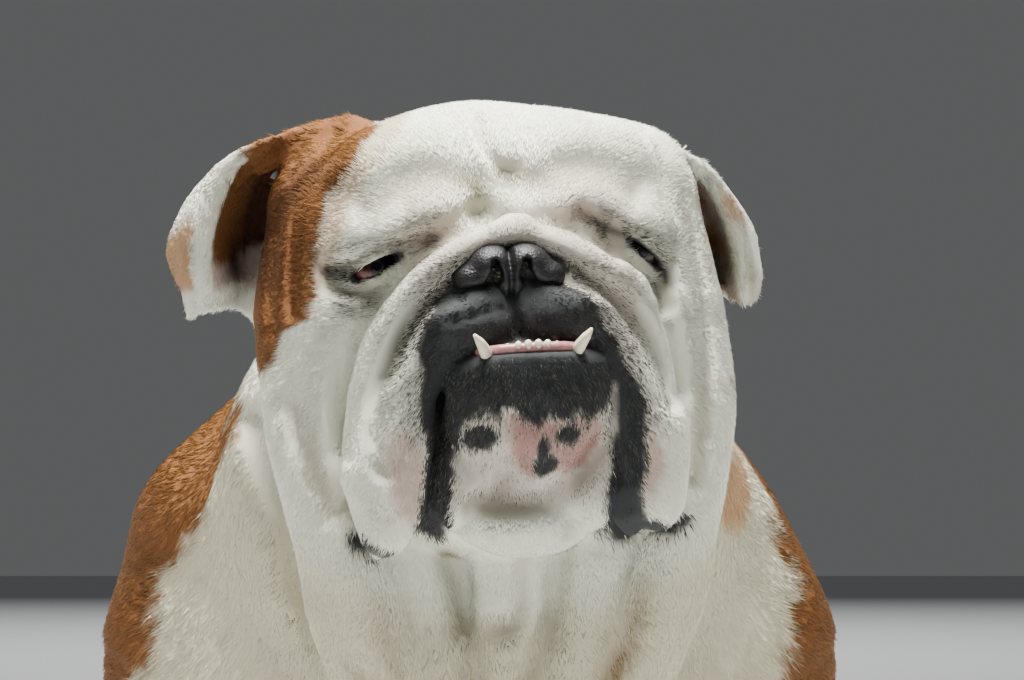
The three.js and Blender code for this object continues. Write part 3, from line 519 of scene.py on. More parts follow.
def made_mesh(name, points, faces):
    """An object from points in the dog's millimetres and faces of one size, shaded smoothly."""
    mesh = bpy.data.meshes.new(name)
    mesh.vertices.add(len(points))
    mesh.vertices.foreach_set("co", placed(points).astype(np.float32).ravel())
    size = faces.shape[1]
    mesh.loops.add(faces.size)
    mesh.loops.foreach_set("vertex_index", faces.astype(np.int32).ravel())
    mesh.polygons.add(len(faces))
    mesh.polygons.foreach_set("loop_start", np.arange(0, faces.size, size, dtype=np.int32))
    mesh.polygons.foreach_set("use_smooth", np.ones(len(faces), bool))
    mesh.update(calc_edges=True)
    mesh.validate()
    return new_object(name, mesh)


skin_points, skin_quads = netted(
    skin_form,
    spaced(-192, 5.2, -140, 2.6, -64, 2.2, 84, 2.6, 138, 5.2, 192),
    spaced(-250, 2.3, -165, 2.8, -76, 7.4, 390),
    spaced(-6, 6, 205, 3.1, 300, 2.6, 345, 2.2, 425, 2.6, 500),
)
skin_normals = slope_of(skin_form, skin_points)
skin_normals /= np.maximum(np.linalg.norm(skin_normals, axis=1), 1e-6)[:, None]
skin = made_mesh("skin", skin_points, skin_quads)
FLESH = ["head", "ear_right", "ear_left", "neck", "torso", "tail", "lower_jaw"]
for side in ("right", "left"):
    FLESH += [f"{part}_{side}" for part in ("foreleg", "forepaw", "thigh", "hind_leg", "hind_paw")]
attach(skin, "root")
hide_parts(*FLESH)

# Markings: white, with brown over the right temple, the ears, the shoulders and the back, a black muzzle and
# lips, a chin black above and pink below, and grey about the eyes, which is grey hair together with painted
# shade in the hollows round them. Painted shade also darkens the creases, the fold of the temple, the valley
# of the left eye and the cups of the ears. They are the colours of hair and skin worked out from the place on
# the dog, and both the skin and the coat carry them.
WHITE = np.array([0.84, 0.85, 0.70])
CREAM = np.array([0.62, 0.59, 0.42])
BROWN = np.array([0.18, 0.074, 0.016])
DEEP_BROWN = np.array([0.060, 0.026, 0.012])
PALE_BROWN = np.array([0.50, 0.31, 0.16])
BEIGE = np.array([0.52, 0.43, 0.36])
DARK = np.array([0.018, 0.019, 0.019])
GREY = np.array([0.15, 0.137, 0.118])
PINK = np.array([0.36, 0.10, 0.085])
# painted shade: how much each channel of hair and skin is darkened in a crease
PAINTED_CREASE_SHADE = [0.62, 0.70, 0.79]
WAVE = 6.283


def ragged(p, size, turn=0.0):
    """A smooth uneven field between about -1 and 1, that makes an edge wander."""
    a, b, c = ((p / size * WAVE) @ turned(31 + turn, 47, 13)).T
    return (np.sin(a + 1.7 * np.sin(b)) + np.sin(b + 1.3 * np.sin(c)) + np.sin(c + 1.5 * np.sin(a))) / 3


def past_outline(h, outline):
    """Distance on the head's front view from a closed outline of [x, z], negative inside it."""
    flat = h[:, [0, 2]]
    best = np.full(len(h), FAR)
    inside = np.zeros(len(h), bool)
    for a, b in zip(outline, outline[1:] + outline[:1]):
        d = np.subtract(b, a)
        t = np.clip((flat - a) @ d / (d @ d), 0, 1)
        best = np.minimum(best, np.linalg.norm(flat - a - t[:, None] * d, axis=1))
        crossed = (a[1] > flat[:, 1]) != (b[1] > flat[:, 1])
        inside ^= crossed & (flat[:, 0] < a[0] + (flat[:, 1] - a[1]) * d[0] / (d[1] or 1))
    return np.where(inside, -best, best)


def from_front_line(h, line):
    """Distance on the head's front view from a line of [x, z]."""
    flat = np.stack([h[:, 0], np.zeros(len(h)), h[:, 2]], axis=1)
    return from_line(flat, np.array([[x, 0, z] for x, z in line], float), 40)


def spot(h, x, z, width, height):
    """How far out of a round spot on the front view: 0 in its middle, 1 on its edge."""
    return np.sqrt(((h[:, 0] - x) / width) ** 2 + ((h[:, 2] - z) / height) ** 2)


MUZZLE_BLACK = [
    [-26, -8], [-34, -15], [-40, -24], [-43, -36], [-43.5, -52], [-43, -70], [-41, -78], [-41, -93],
    [-45, -104], [-46, -113], [-44, -128], [-34, -128], [-32, -104], [-32, -88], [-29, -74], [-27, -58],
    [-25, -44], [-22, -38], [0, -34], [34, -36], [38, -46], [41, -58], [41, -74], [39, -92], [36, -104],
    [37, -122], [50, -126], [54, -120], [53, -112], [51, -100], [52, -90], [54, -76], [53.5, -62],
    [48, -50], [43, -40], [37, -29], [30, -18], [20, -12], [0, -6],
]
SNOUT_BARE = [
    [-24, -8], [-31, -16], [-36, -26], [-36, -36], [-28, -38], [0, -35], [33, -38], [38, -36],
    [33, -26], [27, -17], [18, -10], [0, -6],
]
CHIN_BLACK = [
    [-28, -33], [-31, -54], [-30, -65], [-23, -68], [-16, -66], [-12, -67.5], [-10, -64], [-3.5, -65],
    [0.5, -71], [4, -73.5], [7, -71.5], [11.5, -69.5], [16, -72], [21, -68], [25.5, -70.5], [33, -66.5],
    [41, -63], [46, -54], [44, -40], [38, -33], [0, -30],
]
CHIN_PINK = [
    [-27, -67], [-12, -64], [0, -66], [14, -68], [27, -66], [35, -72], [34, -82], [27, -89], [15, -93],
    [1.5, -93.5], [-5.5, -88], [-10, -81.5], [-14, -77], [-25, -79],
]
CHIN_SPOTS = [[-20, -75, 7, 6], [7, -83, 3, 9], [8, -88, 6, 5.5], [17, -76, 6, 5.5]]
FLEW_HEMS = [[[-72, -118], [-67, -122], [-61, -125], [-51, -125.5], [-42, -124], [-37, -121]],
             [[54, -118], [64, -121], [69, -121], [75, -117.5]]]
FLEW_PINK = [[[-56, -69], [-45, -71], [-43, -102], [-47, -114], [-56, -108], [-59, -88]],
             [[52, -58], [58, -72], [60, -94], [56, -110], [51, -100], [53, -84]]]
TEMPLE_EDGE = [
    [-126, -100], [-123, -86], [-119, -68], [-113, -50], [-104, -41], [-98, -31], [-96, -25],
    [-86, -20], [-83, -10], [-84, 0], [-82.5, 9], [-77, 25], [-67, 41], [-56, 54], [-46, 67], [-36, 82],
]
NECK_EDGE_RIGHT = [
    [216, -155], [230, -150], [253, -143], [271, -136], [290, -123], [315, -109], [333, -105],
    [353, -103], [375, -99],
]
NECK_EDGE_LEFT = [
    [214, 141], [242, 146], [266, 148], [289, 143], [313, 136], [327, 125], [345, 122], [375, 118],
]
EYE_GREY_AND_SHADE = [
    [-72, -1, 15, 7], [-52, 8.5, 16, 5], [-37, 12, 8, 4], [-66, -13, 12, 9], [40, 14, 9, 9],
    [54, 7, 13, 7], [66, -2, 8, 10], [68, -12, 5, 7],
]
LID_RIMS = [[[-67, -3.6], [-57.5, 0.6], [-48, 5.0]], [[56, 5.5], [62, 1], [68, -4]]]
# the line of painted shade in the deep valley of the half-shut left eye
LEFT_EYE_SHADE_LINE = [[38, 16], [46, 11.5], [54, 7.5], [62, 1], [71, -6.5], [72, -12]]
LIP_BARE = [[44, -106], [46, -113], [48, -120]]
TEMPLE_FOLD_SHADE = [[-80, 46], [-97, 26], [-102, 0]]


def mixed(colours, other, share):
    return colours + (np.asarray(other) - colours) * np.clip(share, 0, 1)[:, None]


def all_of(colour, count):
    """One colour for each of so many points."""
    return np.asarray(colour) + np.zeros((count, 3))


def ear_markings(h, hair, edge):
    """The right ear: brown, with a white rim and painted shade in its cup; the left: white, with beige and
    spots inside and painted shade deep in its cup.
    """
    for leaf, right in zip(leaves, (True, False)):
        near, distance, u, v, inner = near_ear(h, leaf)
        e = edge[near] / 6
        here = smooth_step(7.5, 4.5, distance)
        inside = inner * 1.0
        if right:
            tip = smooth_step(10.5, 12, v + e) * (1 - inside)
            colour = mixed(all_of(BROWN, len(near)), WHITE, tip)
            # painted shade: the cup of the right ear is darkened to deep brown
            painted_cup_shade = smooth_step(5.8, 4.6, u + 0.5 * e)
            inward = mixed(all_of(BROWN * 0.9, len(near)), DEEP_BROWN, painted_cup_shade)
            inward = mixed(inward, BEIGE, smooth_step(8.2, 9.6, v + e))
            # painted shade: a darker spot deep in the cup
            inward = mixed(inward, DEEP_BROWN, 0.8 * hump(u - 5.2, 0.8) * hump(v - 9.5, 1.6))
            inward = mixed(inward, WHITE, smooth_step(11, 12.5, v + e))
            beyond = smooth_step(9.0, 9.5, u + 0.3 * e)
            edging = beyond * smooth_step(5.0, 6.5, v) * smooth_step(13, 11.5, v)
            inward = mixed(inward, PALE_BROWN * 0.9, edging)
            inward = mixed(inward, WHITE, beyond * smooth_step(6.5, 5.0, v))
            colour = mixed(colour, inward, inside)
            rim = smooth_step(1.15, 0.75, np.abs(u - 8.3) + 0.2 * e) * smooth_step(1.5, 3, v)
            colour = mixed(colour, WHITE, rim)
        else:
            colour = all_of(WHITE, len(near))
            inward = mixed(colour, BEIGE * 0.8, smooth_step(7.6, 6.6, u))
            # painted shade: darker brown deep in the cup of the left ear, near its root
            inward = mixed(inward, DEEP_BROWN * 3, smooth_step(6.6, 5.2, u) * smooth_step(7.5, 5.5, v))
            inward = mixed(inward, BROWN * 1.2, hump(u - 5.2, 1.5) * hump(v - 8.6, 1.3))
            inward = mixed(inward, PALE_BROWN, 0.9 * hump(u - 9.2, 0.9) * hump(v - 6.2, 1.2))
            two_spots = hump(v - 2.6, 0.4) + hump(v - 4.2, 0.4)
            inward = mixed(inward, GREY, 0.6 * hump(u - 8.0, 0.5) * two_spots)
            inward = mixed(inward, BEIGE, 0.7 * smooth_step(10, 12, v) * smooth_step(8, 9, u))
            colour = mixed(colour, inward, inside)
        hair[near] = hair[near] + (colour - hair[near]) * here[:, None]
    return hair


def markings(p):
    """For each point: the hair's colour, the skin's, and how dark, how grey, how pink and how bare it is."""
    h = to_head(p)
    x, y, z = h.T
    wx, wy, wz = p.T
    on_head = smooth_step(158, 128, np.linalg.norm(h - [0, 25, -14], axis=1))
    front = smooth_step(34, 16, y) * on_head
    edge = 4 * ragged(p, 34) + 2 * ragged(p, 11) + 1.2 * ragged(p, 5)

    temple_line = np.array(TEMPLE_EDGE)
    temple_out = x - np.interp(z, temple_line[:, 1], temple_line[:, 0])
    temple = smooth_step(2.5, -2.5, temple_out - 0.6 * edge)
    temple = temple * smooth_step(-100, -84, z + edge) * on_head
    # brown outside a line down each side of the neck, and over the whole back behind the shoulders
    right_line, left_line = np.array(NECK_EDGE_RIGHT), np.array(NECK_EDGE_LEFT)
    back = 1.3 * np.maximum(wy + 20 - 0.15 * (wz - 250), 0)
    right = -(wx - np.interp(wz, right_line[:, 0], right_line[:, 1])) + back
    left = wx - np.interp(wz, left_line[:, 0], left_line[:, 1]) + back
    saddle = smooth_step(-3, 4, np.maximum(right, left) + 1.5 * edge)
    head_top = on_head * smooth_step(-64, -44, z) * smooth_step(114, 102, -x)
    saddle = saddle * smooth_step(150, 168, wz + 3 * edge - 0.05 * wy) * (1 - head_top)
    saddle = saddle * smooth_step(228, 212, wy + 4 * edge - 0.25 * (wz - 250))
    rump = np.linalg.norm((p - [34, 318, 300]) / [62, 58, 52], axis=1) + edge / 30
    body_brown = np.maximum(saddle, smooth_step(1.06, 0.94, rump))
    island = np.sqrt(((wx - 120) / 9) ** 2 + ((wz - 306) / 18) ** 2) + edge / 18
    island = smooth_step(1.2, 0.8, island) * smooth_step(40, 0, wy) * smooth_step(-105, -80, wy)

    hair = mixed(all_of(WHITE, len(p)), CREAM, 1 - on_head)
    hair = mixed(hair, BROWN, np.maximum(temple, body_brown))
    # painted shade: a darker brown along the fold of the temple
    hair = mixed(hair, DEEP_BROWN, 0.5 * temple * hump(from_front_line(h, TEMPLE_FOLD_SHADE), 5))
    hair = mixed(hair, PALE_BROWN, island)
    beside = 0.55 * smooth_step(8, 2, np.abs(temple_out - 4)) * smooth_step(-14, -2, z)
    hair = mixed(hair, PALE_BROWN, beside * front * (1 - temple))
    hair = ear_markings(h, hair, edge)
    # painted shade: hair and skin are darkened along every crease, more where the crease is deeper
    crease_shade = np.zeros(len(p))
    for where, creases in ((h, face_creases + chin_creases), (p, body_creases)):
        for line, depth, width in creases:
            away = from_line(where * SLOT, line * SLOT, 3 * width)
            crease_shade = np.maximum(crease_shade, min(depth / 7, 1) * hump(away, 0.6 * width))
    hair = hair * (1 - crease_shade[:, None] * PAINTED_CREASE_SHADE)

    # black of the muzzle, lips and chin, thinning outwards through grey, and grey hair about the eyes
    black = past_outline(h, MUZZLE_BLACK)
    hems = np.minimum(from_front_line(h, FLEW_HEMS[0]), from_front_line(h, FLEW_HEMS[1]))
    bare_hems = smooth_step(2.6, 1.6, hems) * smooth_step(14, 6, y)
    hems = hems - 1.4
    fringe = smooth_step(23, 0, black) ** 1.6 * smooth_step(-84, -66, z) * 0.55
    darkness = np.maximum(smooth_step(3.0, -1.0, np.minimum(black, hems) + 0.4 * edge), fringe)
    darkness = darkness * smooth_step(14, 6, y)
    pink = np.zeros(len(p))
    for outline in FLEW_PINK:
        pink = np.maximum(pink, 0.6 * smooth_step(5, -3, past_outline(h, outline) + 0.5 * edge))
    chin = smooth_step(-12, -20, y) * smooth_step(52, 46, np.abs(x - 5))
    chin_black = smooth_step(1.5, -2, past_outline(h, CHIN_BLACK) + 0.7 * edge)
    chin_pink = smooth_step(2, -3, past_outline(h, CHIN_PINK) + 0.7 * edge)
    for sx, sz, width, height in CHIN_SPOTS:
        chin_spot = smooth_step(1.2, 0.7, spot(h, sx, sz, width, height) + edge / 14)
        chin_black = np.maximum(chin_black, chin_spot)
    darkness = np.maximum(darkness, chin_black * chin)
    chin_pink = chin_pink * (0.35 + 0.65 * smooth_step(-12, -4, x))
    chin_blush = 0.3 * smooth_step(12, -2, past_outline(h, CHIN_PINK))
    pink = np.maximum(pink, np.maximum(chin_pink, chin_blush) * chin)
    # grey round the eyes: grey hair together with painted shade in the hollows round them
    eye_grey_and_shade = np.zeros(len(p))
    for sx, sz, width, height in EYE_GREY_AND_SHADE:
        eye_grey_and_shade = np.maximum(eye_grey_and_shade, smooth_step(1.25, 0.3, spot(h, sx, sz, width, height) + edge / 20))
    bridge = 0.3 * smooth_step(1.1, 0.3, spot(h, NOSE_ASIDE + 2, 13, 14, 6))
    bridge = bridge + 0.25 * hump(spot(h, 30, 28, 9, 5), 1)
    # painted shade: the valley of the left eye is laid on as grey and black hair and dark skin
    from_eye_shade = from_front_line(h, LEFT_EYE_SHADE_LINE)
    grey = np.maximum(np.maximum(0.8 * eye_grey_and_shade, 0.9 * hump(from_eye_shade, 5)), bridge) * front
    grey = np.maximum(grey, 0.22 * chin * smooth_step(-112, -100, z))
    pink = np.maximum(pink, 0.28 * chin * smooth_step(-112, -100, z))
    darkness = np.maximum(darkness, 0.85 * hump(from_eye_shade, 2.4) * front)
    rims = np.minimum(from_front_line(h, LID_RIMS[0]), from_front_line(h, LID_RIMS[1]))
    rims = smooth_step(3.6, 2.0, rims) * front
    darkness = np.maximum(darkness, rims)
    brows = 0.5 * np.maximum(hump(spot(h, -33, 13, 14, 8), 1), hump(spot(h, 32, 20, 12, 8), 1)) * front
    pink = np.clip(np.maximum(pink * on_head, brows), 0, 1) * (1 - 0.8 * darkness)
    bare = 0.8 * smooth_step(1.5, -2.5, past_outline(h, SNOUT_BARE)) * smooth_step(-14, -20, y)
    turned_out = smooth_step(3, -1, from_front_line(h, LIP_BARE) - 6)
    bare = np.maximum(bare, turned_out * smooth_step(-99, -102, z))
    lip = smooth_step(4, 1.5, np.abs(z + 42.0)) * smooth_step(-28, -32, y)
    lip = lip * smooth_step(38, 34, np.abs(x - 5))
    bare = np.maximum(np.maximum(bare, lip), np.maximum(0.9 * rims, bare_hems)) * on_head
    under = mixed(mixed(hair, PINK, 0.10 + 0.7 * pink), DARK * 1.5, np.maximum(darkness, bare))
    under = mixed(under, GREY, 0.8 * grey * (1 - darkness))
    return hair, under, darkness, grey, pink, bare


def lie_of(p, normal):
    """The way the hair lies: back from the nose over the head, down the chest and legs, back on the body."""
    h = to_head(p)
    face = np.stack([h[:, 0] * 1.2, h[:, 1] + 62, h[:, 2] + 2], axis=1)
    face[:, 2] -= 50 * smooth_step(-20, -90, h[:, 2])
    face = face / np.linalg.norm(face, axis=1)[:, None] @ HEAD_AXES.T
    share = smooth_step(165, 95, np.linalg.norm(h - [0, 10, -20], axis=1))[:, None]
    body = all_of([0.0, 0.95, -0.45], len(p))
    chest = smooth_step(-20, -90, p[:, 1])[:, None]
    body = body + ([0.0, 0.2, -1.0] - body) * chest
    body[:, 0] += 0.004 * p[:, 0]
    legs = smooth_step(190, 130, p[:, 2])[:, None]
    body = body + ([0.0, 0.12, -1.0] - body) * legs
    toes = smooth_step(45, 25, p[:, 2])[:, None]
    body = body + ([0.0, -0.8, -0.5] - body) * toes
    way = body * (1 - share) + face * share
    way = way - normal * (way * normal).sum(axis=1)[:, None]
    return way / np.maximum(np.linalg.norm(way, axis=1), 1e-6)[:, None]


def put_values(mesh, name, kind, field, values):
    attribute = mesh.attributes.new(name, kind, "POINT")
    attribute.data.foreach_set(field, values.astype(np.float32).ravel())


def put_colour(mesh, name, colours):
    values = np.ones((len(mesh.vertices), 4))
    values[:, :3] = colours
    put_values(mesh, name, "FLOAT_COLOR", "color", values)


_, skin_colour, _, _, _, skin_bare = markings(skin_points)
put_colour(skin.data, "hide", skin_colour)
put_values(skin.data, "bare", "FLOAT", "value", skin_bare)
put_values(skin.data, "lie", "FLOAT_VECTOR", "vector", lie_of(skin_points, skin_normals))


def new_material(name):
    material = bpy.data.materials.new(name)
    material.use_nodes = True
    return material, material.node_tree, material.node_tree.nodes["Principled BSDF"]


def set_inputs(tree, node, inputs):
    """Each input takes a constant or another node's output."""
    for key, value in inputs.items():
        if isinstance(value, bpy.types.NodeSocket):
            tree.links.new(value, node.inputs[key])
        else:
            node.inputs[key].default_value = value


def new_node(tree, kind, inputs):
    node = tree.nodes.new("ShaderNode" + kind)
    set_inputs(tree, node, inputs)
    return node


def object_place(tree):
    return tree.nodes.new("ShaderNodeTexCoord").outputs["Object"]


def stored(tree, name):
    """A value that the mesh carries at its points."""
    node = tree.nodes.new("ShaderNodeAttribute")
    node.attribute_name = name
    return node.outputs


def reckoned(tree, operation, inputs):
    node = tree.nodes.new("ShaderNodeVectorMath")
    node.operation = operation
    set_inputs(tree, node, inputs)
    return node.outputs


def noise_at(tree, place, scale, detail):
    return new_node(tree, "TexNoise", {"Vector": place, "Scale": scale, "Detail": detail}).outputs["Fac"]


def ranged(tree, value, low, high):
    return new_node(tree, "MapRange", {"Value": value, "To Min": low, "To Max": high}).outputs["Result"]


def multiplied(tree, share, a, b):
    node = tree.nodes.new("ShaderNodeMix")
    node.data_type = "RGBA"
    node.blend_type = "MULTIPLY"
    set_inputs(tree, node, {"Factor": share, "A": a, "B": b})
    return node.outputs["Result"]


def bumped(tree, height, distance):
    inputs = {"Strength": 0.5, "Distance": distance, "Height": height}
    return new_node(tree, "Bump", inputs).outputs["Normal"]


# hide under the hair: its own colours, fine streaks along the lie of the hair, smoother where it is bare
STRETCH = -0.86
hide, tree, shader = new_material("hide")
place = object_place(tree)
lie = stored(tree, "lie")["Vector"]
along = reckoned(tree, "DOT_PRODUCT", {0: place, 1: lie})["Value"]
back = reckoned(tree, "SCALE", {0: lie, "Scale": along})["Vector"]
shrunk = reckoned(tree, "MULTIPLY_ADD", {0: back, 1: (STRETCH, STRETCH, STRETCH), 2: place})["Vector"]
streaks = noise_at(tree, shrunk, 900, 3)
set_inputs(tree, shader, {
    "Base Color": multiplied(tree, 1, stored(tree, "hide")["Color"], ranged(tree, streaks, 0.78, 1.12)),
    "Roughness": ranged(tree, stored(tree, "bare")["Fac"], 0.82, 0.62),
    "Normal": bumped(tree, streaks, 0.0008),
    "Specular IOR Level": 0.25,
})
skin.data.materials.append(hide)

# Coat: short, fine, close hair, as many thin tufts rooted in the skin and lying back along it.
# Each tuft is a closed three-sided sliver, smallest on the lips and face, and sunk a little at its root. It
# carries the markings of its root, with painted shade at its root and a little painted light at its tip, and
# has its patch on the unwrap of the skin.
rng = np.random.default_rng(7)
bpy.context.view_layer.objects.active = skin
skin.select_set(True)
bpy.ops.object.mode_set(mode="EDIT")
bpy.ops.mesh.select_all(action="SELECT")
bpy.ops.uv.smart_project(angle_limit=math.radians(75), island_margin=0.0004)
bpy.ops.object.mode_set(mode="OBJECT")
skin.select_set(False)
corner_uv = np.zeros(len(skin.data.loops) * 2, np.float32)
skin.data.uv_layers.active.data.foreach_get("uv", corner_uv)
corner_uv = corner_uv.reshape(-1, 2)
skin_faces = np.zeros(len(skin.data.loops), np.int32)
skin.data.loops.foreach_get("vertex_index", skin_faces)
skin_faces = skin_faces.reshape(-1, 4)
TUFTS = 48000
ROOT_DEPTH = 0.25
HAIR_LOWEST_Z = 0.2
TUFT_PATCH = 0.0015 * np.array([[-1, -1], [1, -1], [0, 0.2], [0, 1]])
# painted shade on the two corners at each tuft's root, and a little painted light at its tip
TUFT_ROOT_SHADE_TIP_LIGHT = np.array([0.94, 0.94, 1.0, 1.03])
TUFT_SIDES = np.array([[0, 1, 2], [1, 0, 3], [2, 1, 3], [0, 2, 3]])


def hair_size(p):
    """Length and width of a tuft in mm, and how high its tip stands."""
    h = to_head(p)
    away = np.linalg.norm(h - [0, -36, -30], axis=1)
    length = np.interp(away, [20, 45, 80, 125, 190], [2.0, 2.6, 3.5, 5.0, 9.0])
    chin = hump(np.linalg.norm((h - [5, -44, -60]) / [34, 20, 30], axis=1), 1)
    ears = smooth_step(88, 100, np.abs(h[:, 0])) * smooth_step(-32, -22, h[:, 2]) * (away < 200)
    length = length + 1.2 * chin
    length = length + (3.6 - length) * ears
    length = length * np.interp(p[:, 2], [0, 60, 200, 260], [0.5, 0.65, 0.85, 1])
    return length, 0.055 * length + 0.2, 0.28 * coat_depth(p) + 0.4 * chin


def sown(count, region):
    """Roots of tufts, picked evenly for their size over the region's faces of skin, with few on bare skin."""
    middle = skin_points[skin_faces].mean(axis=1)
    picked = np.flatnonzero(region(middle))
    quad = skin_points[skin_faces[picked]]
    area = 0.5 * np.linalg.norm(np.cross(quad[:, 2] - quad[:, 0], quad[:, 3] - quad[:, 1]), axis=1)
    length, width, _ = hair_size(middle[picked])
    weight = area / (length * width) * (1 - 0.97 * skin_bare[skin_faces[picked]].mean(axis=1))
    face = picked[rng.choice(len(picked), count, p=weight / weight.sum())]
    u, v = rng.random((2, count))
    share = np.stack([(1 - u) * (1 - v), u * (1 - v), u * v, (1 - u) * v], axis=1)[:, :, None]
    root = (skin_points[skin_faces[face]] * share).sum(axis=1)
    normal = (skin_normals[skin_faces[face]] * share).sum(axis=1)
    normal /= np.linalg.norm(normal, axis=1)[:, None]
    corners = face[:, None] * 4 + np.arange(4)
    return root, normal, (corner_uv[corners] * share).sum(axis=1)


def tuft_colours(root):
    """Each tuft is one hair colour of its place, so that black thins out through single hairs."""
    count = len(root)
    hair, _, darkness, grey, pink, _ = markings(root)
    black = (rng.random(count) < darkness)[:, None]
    dusky = (rng.random(count) < 0.5 * grey)[:, None]
    colour = mixed(mixed(hair, PINK, 0.75 * pink), GREY, 0.6 * grey)
    colour = np.where(dusky, GREY * rng.uniform(0.2, 1.2, (count, 1)), colour)
    dark = mixed(all_of(DARK, count), GREY, 0.8 * rng.random(count) ** 5)
    colour = np.where(black, dark, colour)
    return colour * rng.uniform(0.93, 1.05, (count, 1)), pink


FRONT_Y = -60
BROAD_STEP = 7.0


def broad_normal(root, normal):
    """The way out of the dog, taken widely on its front so that hair lies across a fold's edge."""
    h = to_head(root)
    ears = smooth_step(84, 98, np.abs(h[:, 0])) * smooth_step(-34, -22, h[:, 2])
    ears = ears * smooth_step(120, 100, h[:, 1])
    front = root[:, 1] < FRONT_Y
    broad = normal.copy()
    broad[front] = mixed(slope_of(dog_form, root[front], BROAD_STEP), normal[front], ears[front])
    return broad / np.maximum(np.linalg.norm(broad, axis=1), 1e-6)[:, None]


def coat_piece(name, count, region):
    root, normal, patch = sown(count, region)
    length, width, lift = hair_size(root)
    colour, pink = tuft_colours(root)
    length = length * rng.uniform(0.65, 1.25, count) * (1 - 0.4 * pink)
    half = width * rng.uniform(0.7, 1.3, count) / 2
    lift = lift * rng.uniform(0.3, 1.3, count) * np.where(rng.random(count) < 0.04, 1.8, 1)
    way = lie_of(root, broad_normal(root, normal))
    across = np.cross(normal, way)
    swing = rng.normal(0, 0.16, count) + 0.3 * ragged(root, 40, 20)
    way = way * np.cos(swing)[:, None] + across * np.sin(swing)[:, None]
    across = np.cross(normal, way)
    across /= np.maximum(np.linalg.norm(across, axis=1), 0.2)[:, None]
    length, lift, half = length[:, None], lift[:, None], half[:, None]
    foot = root - normal * ROOT_DEPTH
    ridge = root + normal * half * 1.1 + way * length * 0.25
    tip = root + way * length + normal * lift
    points = np.stack([foot - across * half, foot + across * half, ridge, tip], axis=1).reshape(-1, 3)
    points[:, 2] = np.maximum(points[:, 2], HAIR_LOWEST_Z)
    faces = (np.arange(count)[:, None, None] * 4 + TUFT_SIDES).reshape(-1, 3)
    piece = made_mesh(name, points, faces)
    put_colour(piece.data, "hair", (colour[:, None] * TUFT_ROOT_SHADE_TIP_LIGHT[:, None]).reshape(-1, 3))
    corner_of = np.zeros(len(piece.data.loops), np.int32)
    piece.data.loops.foreach_get("vertex_index", corner_of)
    uv = (patch[:, None] + TUFT_PATCH).reshape(-1, 2)[corner_of]
    piece.data.uv_layers.new(name="OFBake").data.foreach_set("uv", uv.astype(np.float32).ravel())
    piece.data.materials.append(fur)
    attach(piece, "root")


# hair: the colour of each tuft, a fine uneven tone and a soft gloss
fur, tree, shader = new_material("fur")
patchy = ranged(tree, noise_at(tree, object_place(tree), 60, 4), 0.88, 1.08)
set_inputs(tree, shader, {
    "Base Color": multiplied(tree, 1, stored(tree, "hair")["Color"], patchy),
    "Roughness": 0.7,
    "Specular IOR Level": 0.25,
})


def is_face(p):
    h = to_head(p)
    return (h[:, 1] < 22) & (np.abs(h[:, 0]) < 84) & (h[:, 2] > -135)


def is_head(p):
    h = to_head(p)
    return ((np.abs(h[:, 0]) < 150) & (h[:, 1] < 110) & (h[:, 2] > -60)) | is_face(p)


def is_front(p):
    return (p[:, 1] < 0) & (p[:, 2] > 170)


def is_behind(p):
    return ~is_front(p) & ~is_head(p)


coat_piece("coat_face_upper", TUFTS, lambda p: is_face(p) & (to_head(p)[:, 2] > -28))
coat_piece("coat_face_lower", TUFTS, lambda p: is_face(p) & (to_head(p)[:, 2] <= -28))
coat_piece("coat_crown_and_ears", TUFTS, lambda p: is_head(p) & ~is_face(p))
coat_piece("coat_neck_and_chest", TUFTS, lambda p: is_front(p) & ~is_head(p))
coat_piece("coat_back", TUFTS, lambda p: is_behind(p) & (p[:, 2] > 265))
coat_piece("coat_flanks", TUFTS, lambda p: is_behind(p) & (p[:, 2] <= 265) & (p[:, 2] > 150))
coat_piece("coat_legs", TUFTS, lambda p: is_behind(p) & (p[:, 2] <= 150))

# Nose: bare black leather with two comma-shaped nostrils and a groove down its middle.
# It is wet and pebbled, and grows from the roll of skin that frames it.


def nose_form(p):
    h = to_head(p)
    q = mirrored(h, NOSE_ASIDE)
    d = smooth_min(egg(q, [7.5, -30, -1.5], [11, 13, 9.5]), egg(q, [15.5, -28, -6.5], [9.5, 12.5, 7.5]), 3)
    d = smooth_min(d, egg(q, [0, -31, -8], [8, 10, 9]), 4)
    d = d + 2.4 * hump(q[:, 0], 1.3) * smooth_step(-30, -36, h[:, 1])
    path = curve([[6.9, 0, -0.5, 1.8], [6.8, 0, -6.5, 3.2], [11.0, 0, -11.2, 2.3], [19.0, 0, -11.8, 1.1]])
    hole = from_line(q * [1, 0, 1], path, 12)
    return -smooth_min(-d, np.maximum(hole, q[:, 1] + 30), 1.4)


def around(centre, reach, step):
    """Grid lines round a place on the head."""
    return [spaced(c - r, step, c + r) for c, r in zip(from_head(centre), reach)]


nose_points, nose_quads = netted(nose_form, *around([0, -30, -4], [36, 24, 22], 0.9))
nose = made_mesh("nose_leather", nose_points, nose_quads)


def clouded(piece, name, scale, detail, dark, light):
    """A piece's material, its colour clouded between two; its place and clouds are there for more."""
    material, tree, shader = new_material(name)
    place = object_place(tree)
    cloud = noise_at(tree, place, scale, detail)
    ramp = new_node(tree, "ValToRGB", {"Fac": cloud})
    for stop, colour in zip(ramp.color_ramp.elements, (dark, light)):
        stop.color = (*colour, 1)
    set_inputs(tree, shader, {"Base Color": ramp.outputs["Color"]})
    piece.data.materials.append(material)
    return tree, shader, place, cloud


BLACK_LEATHER = (0.004, 0.004, 0.004), (0.012, 0.012, 0.012)
tree, shader, place, cloud = clouded(nose, "nose_leather", 140, 5, *BLACK_LEATHER)
pebbles = new_node(tree, "TexVoronoi", {"Vector": place, "Scale": 900}).outputs["Distance"]
set_inputs(tree, shader, {
    "Normal": bumped(tree, pebbles, 0.0005),
    "Roughness": ranged(tree, cloud, 0.36, 0.6),
    "Specular IOR Level": 0.35,
})
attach(nose, "root")
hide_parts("nose")

